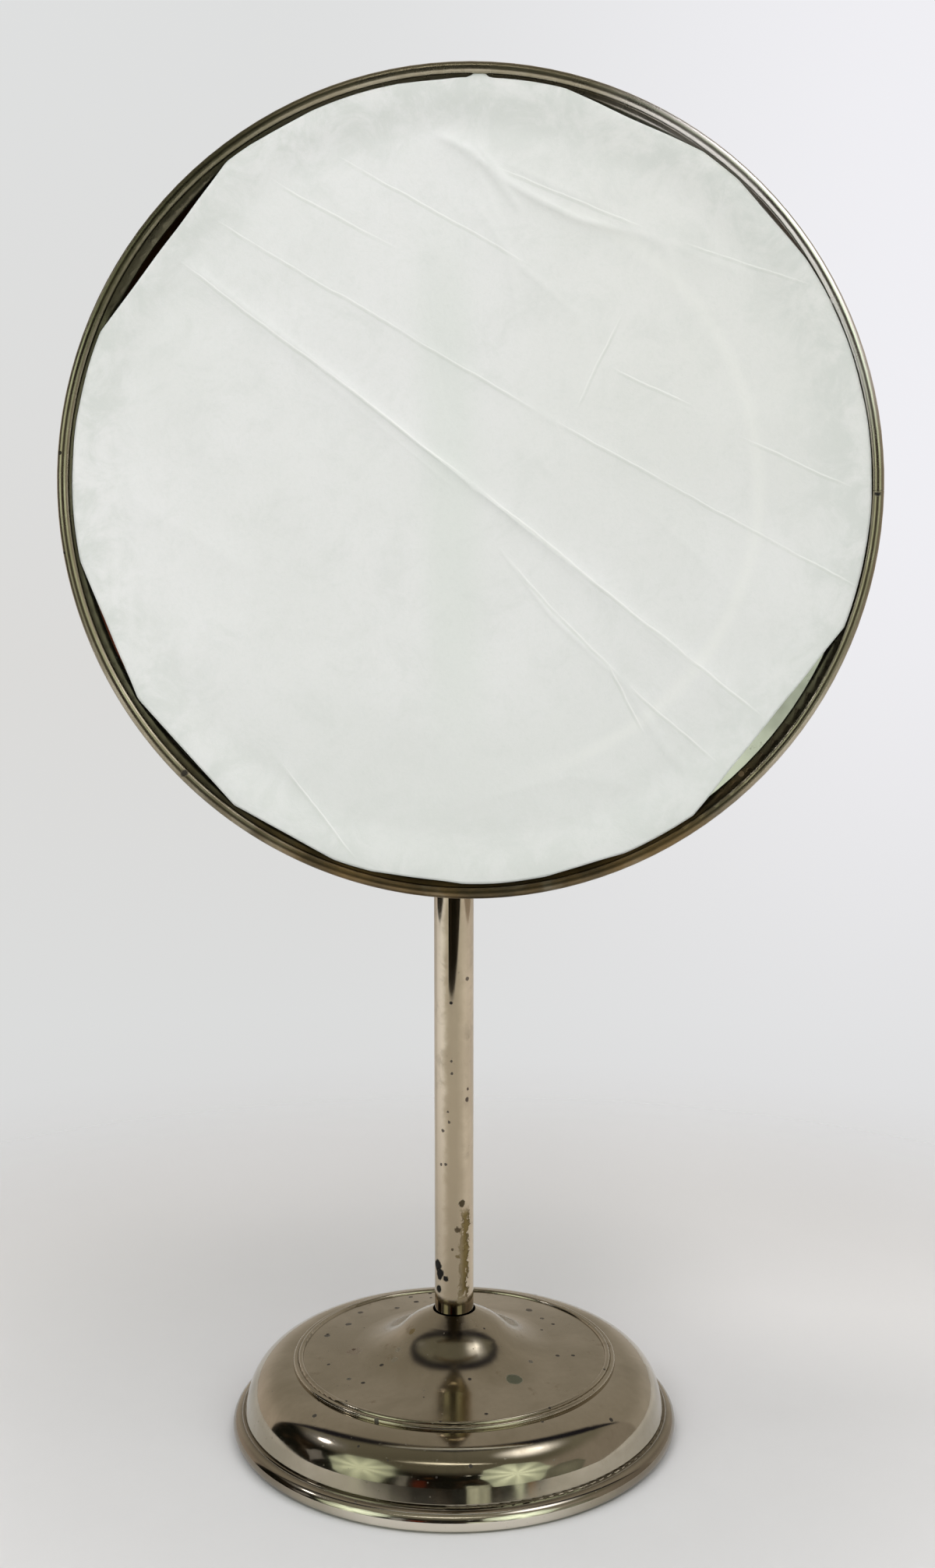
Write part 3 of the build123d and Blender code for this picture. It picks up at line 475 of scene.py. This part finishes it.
# ---------------------------------------------------------------- plain matt materials
def matt(name, dark, light, scale, roughness, relief, depth):
    """Mottled matt surface between two colours."""
    material, g, place = new_material(name)
    grain = g.noise(place, scale, 6.0, 0.65)
    colour = g.mix(g.range(grain, 0.3, 0.7), rgba(dark), rgba(light))
    rough = g.range(grain, 0.3, 0.7, roughness, roughness - 0.1)
    shader = g.add("BsdfPrincipled", {"Base Color": colour, "Roughness": rough,
                                      "Normal": bump(g, grain, relief, depth)})
    finish_material(g, shader)
    return material


def felt(name):
    """Pressed wool: short tangled fibres and a soft sheen."""
    material, g, place = new_material(name)
    fibres = g.noise(place, 1500.0, 6.0, 0.75, 1.5)
    patches = g.noise(place, 50.0, 3.0)
    colour = g.mix(g.range(fibres, 0.3, 0.7), rgba((0.030, 0.062, 0.040)), rgba((0.075, 0.140, 0.090)))
    colour = g.mix(g.times(g.range(patches, 0.45, 0.7), 0.35), colour, rgba((0.10, 0.13, 0.085)))
    shader = g.add("BsdfPrincipled", {"Base Color": colour, "Roughness": 0.95, "Sheen Weight": 0.35,
                                      "Normal": bump(g, fibres, 0.5, 0.0006)})
    finish_material(g, shader)
    return material


PAPER_BAND = (0.013, 0.002)     # half width of the greener upright band, in metres
LIGHTER_ARC_R = 84.5 * MM           # an arc at the right where the paper is coloured lighter
HAIRLINE_HALF = 0.32 * MM


def paper(name):
    """Thin white wrapping paper: cloudy fibres, greyer towards its edge, with hairline creases."""
    material, g, place = new_material(name)
    clouds = g.noise(place, 14.0, 5.0, 0.62)
    blotches = g.noise(place, 75.0, 6.0, 0.72, 0.5)
    fibres = g.noise(place, 820.0, 5.0, 0.72, 0.8)
    x, _, z = g.split(place)
    across, upward = g.minus(x, HEAD_X), g.minus(z, HEAD_Z)
    radius = g.length(across, upward)
    white, grey = (0.892, 0.893, 0.908), (0.740, 0.765, 0.752)
    colour = g.mix(g.range(clouds, 0.32, 0.68), rgba((0.842, 0.850, 0.853)), rgba(white))
    colour = g.mix(g.range(upward, -0.02, -0.11, 0.0, 0.55), colour, rgba((0.765, 0.785, 0.775)))
    band = g.size(g.plus(across, g.plus(0.006, g.times(upward, 0.03))))
    band = g.times(g.range(band, *PAPER_BAND), g.range(g.size(upward), 0.095, 0.04))
    colour = g.mix(g.times(band, 0.55), colour, rgba((0.79, 0.825, 0.80)))
    warm = g.times(g.range(across, -0.01, 0.05), g.range(upward, -0.03, 0.04))
    colour = g.mix(g.times(warm, 0.35), colour, rgba((0.85, 0.855, 0.83)))
    edge = g.range(radius, 0.088, 0.116)
    contact = g.times(edge, g.range(blotches, 0.36, 0.62))
    colour = g.mix(g.times(contact, 0.75), colour, rgba(grey))
    colour = g.mix(g.times(g.range(blotches, 0.48, 0.72), 0.30), colour, rgba(grey))
    colour = g.mix(g.times(g.range(fibres, 0.42, 0.72), 0.16), colour, rgba((0.70, 0.74, 0.72)))
    ring = g.size(g.minus(radius, LIGHTER_ARC_R))
    ring = g.times(g.range(ring, 0.0035, 0.0), g.range(across, 0.010, 0.045))
    colour = g.mix(g.times(ring, 0.35), colour, rgba((0.93, 0.935, 0.92)))
    wander = g.times(g.minus(g.noise(place, 45.0, 3.0), 0.5), 0.0022)
    relief = g.plus(g.times(fibres, 0.30), g.times(blotches, 0.9))
    for start, end in HAIRLINES:
        points = [(HEAD_X + x * MM, HEAD_Z + z * MM) for x, z in (start, end)]
        offset, span = g.stroke(place, *points, HAIRLINE_HALF, wander)
        span = g.times(span, g.range(blotches, 0.30, 0.55, 0.25, 1.0))
        lit = g.times(g.range(g.size(offset), 1.0, 0.25), span)
        shade = g.times(g.range(g.size(g.plus(offset, 2.0)), 1.6, 0.2), span)
        colour = g.mix(g.times(lit, 0.65), colour, rgba((0.97, 0.975, 0.97)))
        colour = g.mix(g.times(shade, 0.45), colour, rgba((0.70, 0.73, 0.70)))
        relief = g.plus(relief, g.times(lit, 0.5))
    shader = g.add("BsdfPrincipled", {"Base Color": colour, "Roughness": 0.82, "Specular IOR Level": 0.25,
                                      "Normal": bump(g, relief, 0.22, 0.0005)})
    finish_material(g, shader)
    return material


# ---------------------------------------------------------------- paper sheet
PAPER_STEPS = 560           # round the sheet
PAPER_RINGS = 150           # from the middle to the edge
PAPER_SHEET = 0.10 * MM     # thickness of the modelled sheet
LIP_INNER_R = 115.0 * MM    # inside this the sheet leaves the rim's lip
SETTLE_RUN = 14.0 * MM      # and over this run it sinks to the glass
# Depth behind the rim's front in mm: at the lip, over the glass, and the limits the waves are held to.
LIP_DEPTH, GLASS_DEPTH = 1.30, 2.85
LEAST_DEPTH, MOST_DEPTH = 0.35, 3.45
PAPER_REACH = 116.4         # mm from the glass's middle to the cut edge, before the facets
RIGHT_LAP, RIGHT_TURN = 0.8, 8.0    # mm that the edge laps out at the right, and its direction
TAB, TAB_TURN, TAB_HALF = 2.2, 88.8, 1.5    # the small tab at the top: mm, direction, half width
CREASE_REACH = 5.0          # a crease dies out at this many of its half widths
# Scissor facets: direction in degrees, distance of the straight cut from the glass's middle in mm.
PAPER_FACETS = [
    (142.0, 112.4), (-38.0, 111.3), (201.8, 114.0), (221.4, 114.1), (66.3, 114.6), (241.0, 115.2),
    (262.0, 115.6), (287.0, 115.8), (96.0, 116.1), (118.0, 116.0), (42.0, 116.0),
]
# Creases: points (right, up) in mm from the glass's middle, height in mm, half width in mm.
CREASES = [
    ([(-87.6, 68.8), (-40.0, 33.0), (0.0, 1.6), (44.0, -33.0), (87.8, -67.9)], 0.80, 1.7),
    ([(-80.0, 62.0), (-44.0, 33.0), (-4.0, 0.0)], 0.30, 3.6),
    ([(20.0, -15.5), (58.0, -47.0), (86.0, -71.0)], 0.30, 4.4),
    ([(-75.1, 77.9), (22.9, 20.8), (116.4, -29.2)], 0.22, 0.8),
    ([(-9.0, 100.7), (0.0, 96.0), (6.5, 90.0), (14.0, 80.0)], 1.0, 1.5),
    ([(2.0, 98.0), (10.0, 88.0), (17.0, 84.0), (30.0, 77.5), (46.0, 73.5)], 0.9, 1.6),
    ([(8.0, 94.0), (30.0, 84.0), (42.0, 80.0)], 0.45, 3.2),
    ([(0.0, 84.0), (12.0, 66.0), (34.0, 48.0)], 0.45, 3.0),
    ([(52.0, 73.0), (68.0, 66.0), (86.0, 60.0)], 0.3, 3.2),
    ([(-2.0, 98.0), (10.0, 74.0), (14.0, 48.0)], 0.50, 4.5),
    ([(36.0, 80.0), (56.0, 70.0), (62.0, 52.0)], 0.40, 3.0),
    ([(9.1, -17.9), (24.0, -37.0), (45.7, -56.6), (75.4, -81.7)], 0.38, 1.0),
    ([(45.7, -56.6), (58.0, -76.0), (66.0, -84.0)], 0.40, 1.2),
    ([(50.0, -4.0), (66.0, -18.0), (86.0, -40.0)], 0.35, 4.0),
    ([(-57.0, -79.5), (-45.0, -95.0), (-34.2, -109.1)], 0.30, 0.9),
    ([(-110.0, 4.0), (-80.0, -14.0), (-60.0, -26.0)], 0.35, 5.0),
    ([(-14.0, 60.0), (-6.0, 20.0), (-16.0, -40.0)], -0.35, 9.0),
    ([(0.0, -92.0), (30.0, -84.0), (52.0, -88.0)], 0.35, 4.0),
]
# Hairline creases: start and end (right, up) in mm from the glass's middle.
HAIRLINES = [
    ((-75.1, 77.9), (22.9, 20.8)), ((22.9, 20.8), (116.4, -29.2)), ((-60.0, 90.0), (-20.0, 68.0)),
    ((-86.0, 67.0), (0.5, 2.2)), ((0.5, 2.2), (88.5, -67.6)), ((78.0, 16.0), (113.0, 0.5)),
    ((40.0, 36.0), (66.0, 24.0)), ((9.0, -18.0), (45.5, -56.0)), ((45.5, -56.0), (75.0, -81.0)),
    ((40.0, -50.0), (52.0, -72.0)), ((-57.0, -79.5), (-33.0, -110.0)), ((-40.0, 96.0), (18.0, 64.0)),
    ((30.0, 22.0), (44.0, 52.0)), ((60.0, 71.0), (100.0, 58.0)), ((6.0, 92.0), (52.0, 74.0)),
]


def paper_radius(turn):
    """Distance from the glass's middle to the sheet's cut edge, in metres."""
    right_lap = RIGHT_LAP * max(0.0, math.cos(turn - math.radians(RIGHT_TURN))) ** 2
    tab = TAB * max(0.0, 1.0 - abs(turn - math.radians(TAB_TURN)) / math.radians(TAB_HALF))
    reach = PAPER_REACH + right_lap
    for degrees, distance in PAPER_FACETS:
        lean = math.cos(turn - math.radians(degrees))
        if lean > 0.6:
            reach = min(reach, distance / lean)
    waver = noise.noise(Vector((math.cos(turn) * 9.0, math.sin(turn) * 9.0, 0.0)))
    return (reach + 0.18 * waver + tab) * MM


def crease_height(x, z):
    """Relief of the creases at a point, in mm towards the viewer."""
    total = 0.0
    for points, height, width in CREASES:
        best = CREASE_REACH * width
        along = 0.0
        count = len(points) - 1
        for index in range(count):
            ax, az = points[index]
            bx, bz = points[index + 1]
            near_x = min(ax, bx) - best <= x <= max(ax, bx) + best
            near_z = min(az, bz) - best <= z <= max(az, bz) + best
            if not (near_x and near_z):
                continue
            dx, dz = bx - ax, bz - az
            share = ((x - ax) * dx + (z - az) * dz) / (dx * dx + dz * dz)
            share = min(1.0, max(0.0, share))
            gap = math.hypot(x - ax - share * dx, z - az - share * dz)
            if gap < best:
                best = gap
                along = (index + share) / count
        if best < CREASE_REACH * width:
            taper = math.sin(math.pi * min(1.0, max(0.0, along * 0.94 + 0.03))) ** 0.5
            total += height * taper * (math.exp(-best / width) - math.exp(-CREASE_REACH))
    return total


def paper_depth(x, z, radius):
    """How far the sheet lies behind the rim's front, in metres."""
    inward = min(1.0, max(0.0, (LIP_INNER_R - radius) / SETTLE_RUN))
    settle = inward * inward * (3.0 - 2.0 * inward)
    rest = LIP_DEPTH + (GLASS_DEPTH - LIP_DEPTH) * settle
    x_mm, z_mm = x / MM, z / MM
    waves = noise.noise(Vector((x_mm / 38.0, z_mm / 38.0, 1.7))) * 0.55
    waves += noise.noise(Vector((x_mm / 13.0, z_mm / 13.0, 5.1))) * 0.16
    relief = (crease_height(x_mm, z_mm) + waves) * (0.12 + 0.88 * settle)
    return min(MOST_DEPTH, max(LEAST_DEPTH, rest - relief)) * MM


def paper_sheet(material):
    """The creased sheet as one closed thin mesh."""
    front = [Vector((HEAD_X, RIM_LOW.y + paper_depth(0.0, 0.0, 0.0), HEAD_Z))]
    for ring in range(1, PAPER_RINGS + 1):
        for step in range(PAPER_STEPS):
            turn = 2.0 * math.pi * step / PAPER_STEPS
            radius = paper_radius(turn) * ring / PAPER_RINGS
            x, z = radius * math.cos(turn), radius * math.sin(turn)
            front.append(Vector((HEAD_X + x, RIM_LOW.y + paper_depth(x, z, radius), HEAD_Z + z)))
    count = len(front)
    points = front + [p + Vector((0.0, PAPER_SHEET, 0.0)) for p in front]
    faces = []
    for step in range(PAPER_STEPS):
        after = (step + 1) % PAPER_STEPS
        faces.append((0, 1 + step, 1 + after))
        faces.append((count, count + 1 + after, count + 1 + step))
        for ring in range(PAPER_RINGS - 1):
            a = 1 + ring * PAPER_STEPS + step
            b = 1 + ring * PAPER_STEPS + after
            c, d = b + PAPER_STEPS, a + PAPER_STEPS
            faces.append((a, d, c, b))
            faces.append((count + a, count + b, count + c, count + d))
        a = 1 + (PAPER_RINGS - 1) * PAPER_STEPS + step
        b = 1 + (PAPER_RINGS - 1) * PAPER_STEPS + after
        faces.append((a, count + a, count + b, b))
    mesh = bpy.data.meshes.new("paper_sheet")
    mesh.from_pydata(points, [], faces)
    mesh.validate()
    mesh.shade_smooth()
    mesh.materials.append(material)
    sheet = bpy.data.objects.new("paper_sheet", mesh)
    bpy.context.scene.collection.objects.link(sheet)
    radii = [paper_radius(2.0 * math.pi * k / PAPER_STEPS) for k in range(PAPER_STEPS)]
    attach(sheet, "head")
    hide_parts("paper_cover")


# ---------------------------------------------------------------- floor, studio and camera
def from_front(azimuth, elevation, distance, height=0.05):
    """Point seen from the base: azimuth from the front to the right, in degrees."""
    a, e = math.radians(azimuth), math.radians(elevation)
    return Vector((distance * math.sin(a) * math.cos(e), -distance * math.cos(a) * math.cos(e),
                   height + distance * math.sin(e)))


def link_stage(name, mesh, material):
    """Puts a mesh of the studio into the scene, outside the part."""
    made = bpy.data.objects.new(name, mesh)
    mesh.materials.append(material)
    bpy.context.scene.collection.objects.link(made)
    return made


def floor():
    """Pale table, opaque to reflections, that fades into the backdrop for the camera."""
    material, g, place = new_material("floor_paper")
    x, y, _ = g.split(place)
    flat = g.add("CombineXYZ", {0: x, 1: y}).outputs[0]
    away = g.add("VectorMath", {0: flat}, operation="LENGTH").outputs["Value"]
    fade = g.range(away, FLOOR_SOLID_R, FLOOR_FADE_R)
    seen = g.add("LightPath").outputs["Is Camera Ray"]
    under = g.add("NewGeometry").outputs["Backfacing"]
    clear = g.times(g.math("MAXIMUM", fade, under), seen)
    grain = g.noise(place, 60.0, 3.0)
    colour = g.mix(grain, rgba((0.700, 0.706, 0.726)), rgba((0.720, 0.726, 0.746)))
    # painted shade round the base: the floor is coloured darker near the stem and lighter further out
    colour = g.mix(g.range(away, 0.09, 0.26), colour, rgba((0.860, 0.862, 0.885)))
    # painted light: a lighter patch on the floor behind the base at the right
    behind = g.times(g.range(x, 0.02, 0.14), g.range(y, 0.0, 0.11))
    colour = g.mix(behind, colour, rgba((0.95, 0.95, 0.975)))
    shader = g.add("BsdfPrincipled", {"Base Color": colour, "Roughness": 0.75, "Specular IOR Level": 0.2})
    see_through = g.add("BsdfTransparent")
    both = g.add("MixShader", {0: clear, 1: shader.outputs[0], 2: see_through.outputs[0]})
    finish_material(g, both)
    mesh = bpy.data.meshes.new("floor")
    corners = [(*corner, 0.0) for corner in FLOOR_CORNERS]
    mesh.from_pydata(corners, [], [tuple(range(len(corners)))])
    link_stage("floor", mesh, material)


def glow(name, colour, strength, ribs=0):
    """Light of an umbrella or a board, brighter at its middle, with darker ribs."""
    material, g, place = new_material(name)
    x, y, _ = g.split(place)
    away = g.add("VectorMath", {0: place}, operation="LENGTH").outputs["Value"]
    level = g.range(away, 0.0, 0.55, 1.45, 0.60)
    if ribs:
        turn = g.math("ARCTAN2", y, x)
        wave = g.math("COSINE", g.times(turn, float(ribs)))
        level = g.times(level, g.range(wave, -1.0, 1.0, 0.72, 1.2))
    shader = g.add("Emission", {"Color": rgba(colour), "Strength": g.times(level, strength)})
    finish_material(g, shader)
    return material


def halo(name, colour, core, spread):
    """Bare flash: a small very bright core inside a wide veil that thins out."""
    material, g, place = new_material(name)
    away = g.add("VectorMath", {0: place}, operation="LENGTH").outputs["Value"]
    veil = g.math("POWER", g.range(away, 0.46, 0.04), 1.6)
    level = g.plus(g.times(g.range(away, 0.085, 0.055), core), spread)
    light = g.add("Emission", {"Color": rgba(colour), "Strength": level})
    clear = g.add("BsdfTransparent")
    finish_material(g, g.add("MixShader", {0: veil, 1: clear.outputs[0], 2: light.outputs[0]}))
    return material


def lamp_disc(name, at, aim, radius, sides, material):
    """Flat polygon that shines towards a point and isn't seen by the camera."""
    turns = [2 * math.pi * k / sides for k in range(sides)]
    ring = [(radius * math.cos(turn), radius * math.sin(turn), 0.0) for turn in turns]
    faces = [(0, 1 + k, 1 + (k + 1) % sides) for k in range(sides)]
    mesh = bpy.data.meshes.new(name)
    mesh.from_pydata([(0.0, 0.0, 0.0)] + ring, [], faces)
    lamp = link_stage(name, mesh, material)
    lamp.location = at
    lamp.rotation_euler = (Vector(aim) - Vector(at)).to_track_quat("Z", "Y").to_euler()
    lamp.visible_camera = False
    return lamp


def room_panel(name, at, half_width, half_height, colour, strength):
    """Upright piece of the room behind the camera, seen only in the metal and the glass."""
    material, g, place = new_material(name + "_glow")
    mottle = g.range(g.noise(place, 9.0, 4.0), 0.3, 0.7, 0.6, 1.3)
    shader = g.add("Emission", {"Color": rgba(colour), "Strength": g.times(mottle, strength)})
    finish_material(g, shader)
    w, h = half_width, half_height
    mesh = bpy.data.meshes.new(name)
    mesh.from_pydata([(-w, 0.0, -h), (w, 0.0, -h), (w, 0.0, h), (-w, 0.0, h)], [], [(0, 1, 2, 3)])
    panel = link_stage(name, mesh, material)
    panel.location = at
    panel.visible_camera = False
    panel.visible_shadow = False


def studio_lamps():
    """Two umbrellas, two bare flashes, boards and a ceiling strip, and the cases of the room behind."""
    umbrella = glow("umbrella_glow", (0.90, 1.0, 0.80), 1.05, ribs=8)
    flash = halo("flash_glow", (0.97, 0.96, 1.0), 9.0, 0.65)
    bare_flash = halo("bare_flash_glow", (0.97, 0.96, 1.0), 9.0, 0.35)
    strip = glow("strip_glow", (1.0, 0.97, 0.86), 2.6)
    dim = glow("dim_glow", (0.90, 0.90, 0.72), 0.24)
    for side, turn, climb in (("left", -50.0, 21.0), ("right", 33.0, 22.0)):
        shade = lamp_disc("umbrella_" + side, from_front(turn, climb, 1.5), LAMP_AIM, 0.49, 8, umbrella)
        shade.scale = (1.0, 1.35, 1.0)
    board = halo("board_glow", (1.0, 0.985, 0.99), 0.0, 2.6)
    card = lamp_disc("card_right", (0.270, -0.140, 0.542), (0.085, 0.0, 0.386), 0.46, 24, board)
    card.scale = (0.42, 0.42, 1.0)
    card.visible_diffuse = False
    door = glow("door_glow", (0.52, 0.50, 0.49), 0.34)
    frame_left = lamp_disc("door_left", from_front(-77.0, 12.0, 1.7), LAMP_AIM, 0.24, 4, door)
    frame_left.scale = (0.8, 1.5, 1.0)
    lamp_disc("flash_left", from_front(-88.0, 40.0, 1.4), LAMP_AIM, 0.46, 24, bare_flash)
    lamp_disc("flash_right", from_front(74.0, 60.0, 1.4), LAMP_AIM, 0.46, 24, flash)
    lamp_disc("reflector_right", from_front(59.0, 8.0, 1.7), LAMP_AIM, 0.36, 8, dim)
    bar = lamp_disc("ceiling_strip", from_front(-6.0, 56.0, 1.6), LAMP_AIM, 0.5, 4, strip)
    bar.scale = (1.3, 0.10, 1.0)
    room_panel("pale_case", (0.33, -1.5, 0.13), 0.16, 0.16, (0.88, 0.92, 0.74), 0.60)
    room_panel("brown_case", (-0.34, -1.5, 0.67), 0.05, 0.06, (0.45, 0.22, 0.09), 0.16)
    room_panel("dark_case", (-0.36, -1.56, 0.70), 0.20, 0.20, (0.02, 0.017, 0.014), 0.5)
    room_panel("grey_case", (-0.80, -1.62, 0.45), 0.09, 0.36, (0.85, 0.84, 0.80), 0.36)
    room_panel("red_case", (-0.52, -1.7, 0.42), 0.10, 0.30, (0.50, 0.10, 0.05), 0.22)
    room_panel("amber_case", (1.15, -1.4, 0.08), 0.10, 0.10, (0.55, 0.28, 0.08), 0.35)
    for x in (0.23, 0.42):
        room_panel("bulb_%d" % round(100 * x), (x, -1.6, 0.93), 0.03, 0.02, (1.0, 1.0, 0.96), 1.5)


def world():
    """Backdrop for the camera, and the room that the metal reflects."""
    made = bpy.data.worlds.new("studio")
    bpy.context.scene.world = made
    made.use_nodes = True
    made.node_tree.nodes.clear()
    g = Graph(made.node_tree)
    direction = g.add("TexCoord").outputs["Generated"]
    x, y, z = g.split(direction)
    # what the camera sees: pale paper, brighter towards the upper right, greyer low down
    upward = g.range(z, -0.60, 0.40)
    paper_back = g.ramp(upward, [(0.0, (0.660, 0.655, 0.655)), (0.14, (0.675, 0.672, 0.670)),
                                 (0.30, (0.710, 0.715, 0.712)), (0.60, (0.712, 0.706, 0.692)),
                                 (1.0, (0.735, 0.742, 0.742))])
    lift = g.times(g.range(x, -0.12, 0.26), g.range(z, -0.45, 0.10))
    backdrop = g.mix(lift, paper_back, rgba((0.87, 0.865, 0.90)))
    # what the metal sees: the room by direction round the stem, its ceiling, and the sweep behind
    turn = g.math("ARCTAN2", x, g.times(y, -1.0))
    round_way = g.plus(g.times(turn, 0.5 / math.pi), 0.5)
    wall = (0.36, 0.32, 0.275)
    clutter = g.noise(direction, 6.0, 4.0, 0.6)
    things = g.ramp(clutter, [(0.0, (0.004, 0.005, 0.004)), (0.50, (0.012, 0.012, 0.009)),
                              (0.60, (0.030, 0.020, 0.012)), (0.72, (0.07, 0.06, 0.045))])
    right_wall = g.range(round_way, 0.628, 0.640)
    room = g.mix(right_wall, things, rgba(wall))
    ceiling = g.mix(g.range(y, -0.6, 0.1), rgba((0.16, 0.15, 0.11)), rgba((0.24, 0.225, 0.175)))
    room = g.mix(g.range(z, 0.48, 0.70), room, ceiling)
    sweep = g.mix(g.range(z, 0.10, 0.45), rgba((0.52, 0.475, 0.42)), rgba((0.40, 0.362, 0.31)))
    left_low = g.times(g.range(x, -0.2, -0.8), g.range(z, 0.6, 0.1))
    sweep = g.mix(left_low, sweep, rgba((0.62, 0.545, 0.48)))
    # the sweep's front edge: a dark line that runs over the top from side to side
    border = g.plus(0.09, g.times(g.size(x), 0.30))
    beyond = g.minus(y, border)
    studio = g.mix(g.range(beyond, -0.006, 0.006), room, sweep)
    spread = g.range(z, 0.55, 0.88, 0.035, 0.165)
    near_edge = g.math("DIVIDE", g.size(g.plus(beyond, 0.015)), spread)
    shadow = g.times(g.range(near_edge, 1.0, 0.30), g.range(z, 0.40, 0.60))
    studio = g.mix(shadow, studio, rgba((0.018, 0.017, 0.024)))
    seen = g.add("LightPath").outputs["Is Camera Ray"]
    colour = g.mix(seen, studio, backdrop)
    background = g.add("Background", {"Color": colour, "Strength": 1.0})
    output = g.add("OutputWorld")
    g.tree.links.new(background.outputs[0], output.inputs["Surface"])


def soft_light(name, at, aim, size, watts, colour):
    """Soft box that lights the matt surfaces and isn't mirrored by the metal."""
    data = bpy.data.lights.new(name, "AREA")
    data.size = size
    data.energy = watts
    data.color = colour
    lamp = bpy.data.objects.new(name, data)
    bpy.context.scene.collection.objects.link(lamp)
    lamp.location = at
    lamp.rotation_euler = (Vector(aim) - Vector(at)).to_track_quat("-Z", "Y").to_euler()
    lamp.visible_camera = False
    lamp.visible_glossy = False


def camera():
    """Camera that matches the photo."""
    data = bpy.data.cameras.new("camera")
    data.lens = CAMERA_LENS
    data.sensor_width = 36.0
    data.clip_start = 0.01
    made = bpy.data.objects.new("camera", data)
    bpy.context.scene.collection.objects.link(made)
    made.location = CAMERA_AT
    made.rotation_euler = (math.radians(90.0 - CAMERA_DOWN), 0.0, 0.0)
    bpy.context.scene.camera = made


# ---------------------------------------------------------------- put it together
camera()
world()
floor()
studio_lamps()
soft_light("soft_left", from_front(-40.0, 45.0, 1.6), SOFT_AIM, 1.2, SOFT_WATTS, (0.985, 0.975, 1.0))
soft_light("soft_right", from_front(45.0, 50.0, 1.6), SOFT_AIM, 1.2, SOFT_WATTS, (0.985, 0.97, 1.0))
soft_light("soft_top", Vector((0.0, 0.5, 1.5)), (0.0, 0.1, 0.0), 1.6, 4.0, (1.0, 1.0, 1.0))
bpy.context.scene.view_settings.view_transform = "Standard"

RIM_SPOTS = [
    ((HEAD_X + 0.1190, RIM_LOW.y + 0.0010, HEAD_Z - 0.0010), 0.0013, 0.0012, CHIP, 1.0, 0.4),
    ((HEAD_X + 0.1165, RIM_LOW.y + 0.0016, HEAD_Z - 0.0022), 0.0006, 0.0008, CHIP, 1.0, 0.4),
    ((HEAD_X - 0.1188, RIM_LOW.y + 0.0010, HEAD_Z - 0.0180), 0.0007, 0.0009, CHIP, 1.0, 0.4),
    ((HEAD_X - 0.1186, RIM_LOW.y + 0.0010, HEAD_Z - 0.0060), 0.0006, 0.0009, CHIP, 1.0, 0.4),
    ((HEAD_X - 0.0850, RIM_LOW.y + 0.0006, HEAD_Z - 0.0830), 0.0012, 0.0014, CHIP, 0.9, 0.4),
]
# bright plate, dull plate, pits, and roughness from polished to clouded
rim_metal = nickel("rim_nickel", (0.50, 0.45, 0.345), (0.36, 0.315, 0.22), (0.03, 0.025, 0.018),
                   (0.20, 0.32), pit_density=0.35, spots=RIM_SPOTS, cloud=36.0, relief=0.012,
                   extra=rim_extra)
stem_metal = nickel("stem_nickel", (0.65, 0.545, 0.40), (0.53, 0.44, 0.32), (0.05, 0.04, 0.035),
                    (0.03, 0.07), pit_density=0.35, spots=STEM_SPOTS, cloud=60.0, relief=0.05,
                    extra=stem_extra)
base_metal = nickel("base_nickel", (0.47, 0.42, 0.33), (0.36, 0.32, 0.24), (0.04, 0.034, 0.028),
                    (0.06, 0.125), pit_density=1.3, spots=BASE_SPOTS, cloud=30.0, relief=0.07,
                    extra=base_extra)
fitting_metal = nickel("fitting_nickel", (0.56, 0.52, 0.45), (0.36, 0.32, 0.26), (0.05, 0.04, 0.03),
                       (0.18, 0.34), pit_density=0.4, cloud=90.0)
FINISHES = {
    rim_metal: ("rim",),
    stem_metal: ("stem_tube",),
    base_metal: ("base_shell",),
    fitting_metal: ("foot_bush", "top_bush", "swivel_screw", "swivel_knuckle", "thumb_nut", "hinge_bolt",
                    "tilt_bracket"),
    steel("plain_steel"): ("tie_rod", "rod_nut", "rod_washer", "spring_washer"),
    brass("rivet_brass"): ("bracket_rivets", "rivet_washers"),
    japanned("japanned_back"): ("back_pan",),
    silvered("old_mirror"): ("mirror_glass",),
    felt("green_felt"): ("felt_pad",),
    matt("backing_card", (0.26, 0.19, 0.12), (0.40, 0.30, 0.20), 600.0, 0.9, 0.25, 0.0003): ("backing_card",),
    matt("red_fibre", (0.24, 0.05, 0.03), (0.36, 0.09, 0.05), 700.0, 0.6, 0.2, 0.0002): ("friction_washer",),
    matt("cast_iron", (0.030, 0.028, 0.026), (0.07, 0.062, 0.055), 380.0, 0.8, 0.5, 0.0008): ("base_weight",),
}
for material, names in FINISHES.items():
    for name in names:
        dress(name, material)
paper_sheet(paper("white_paper"))
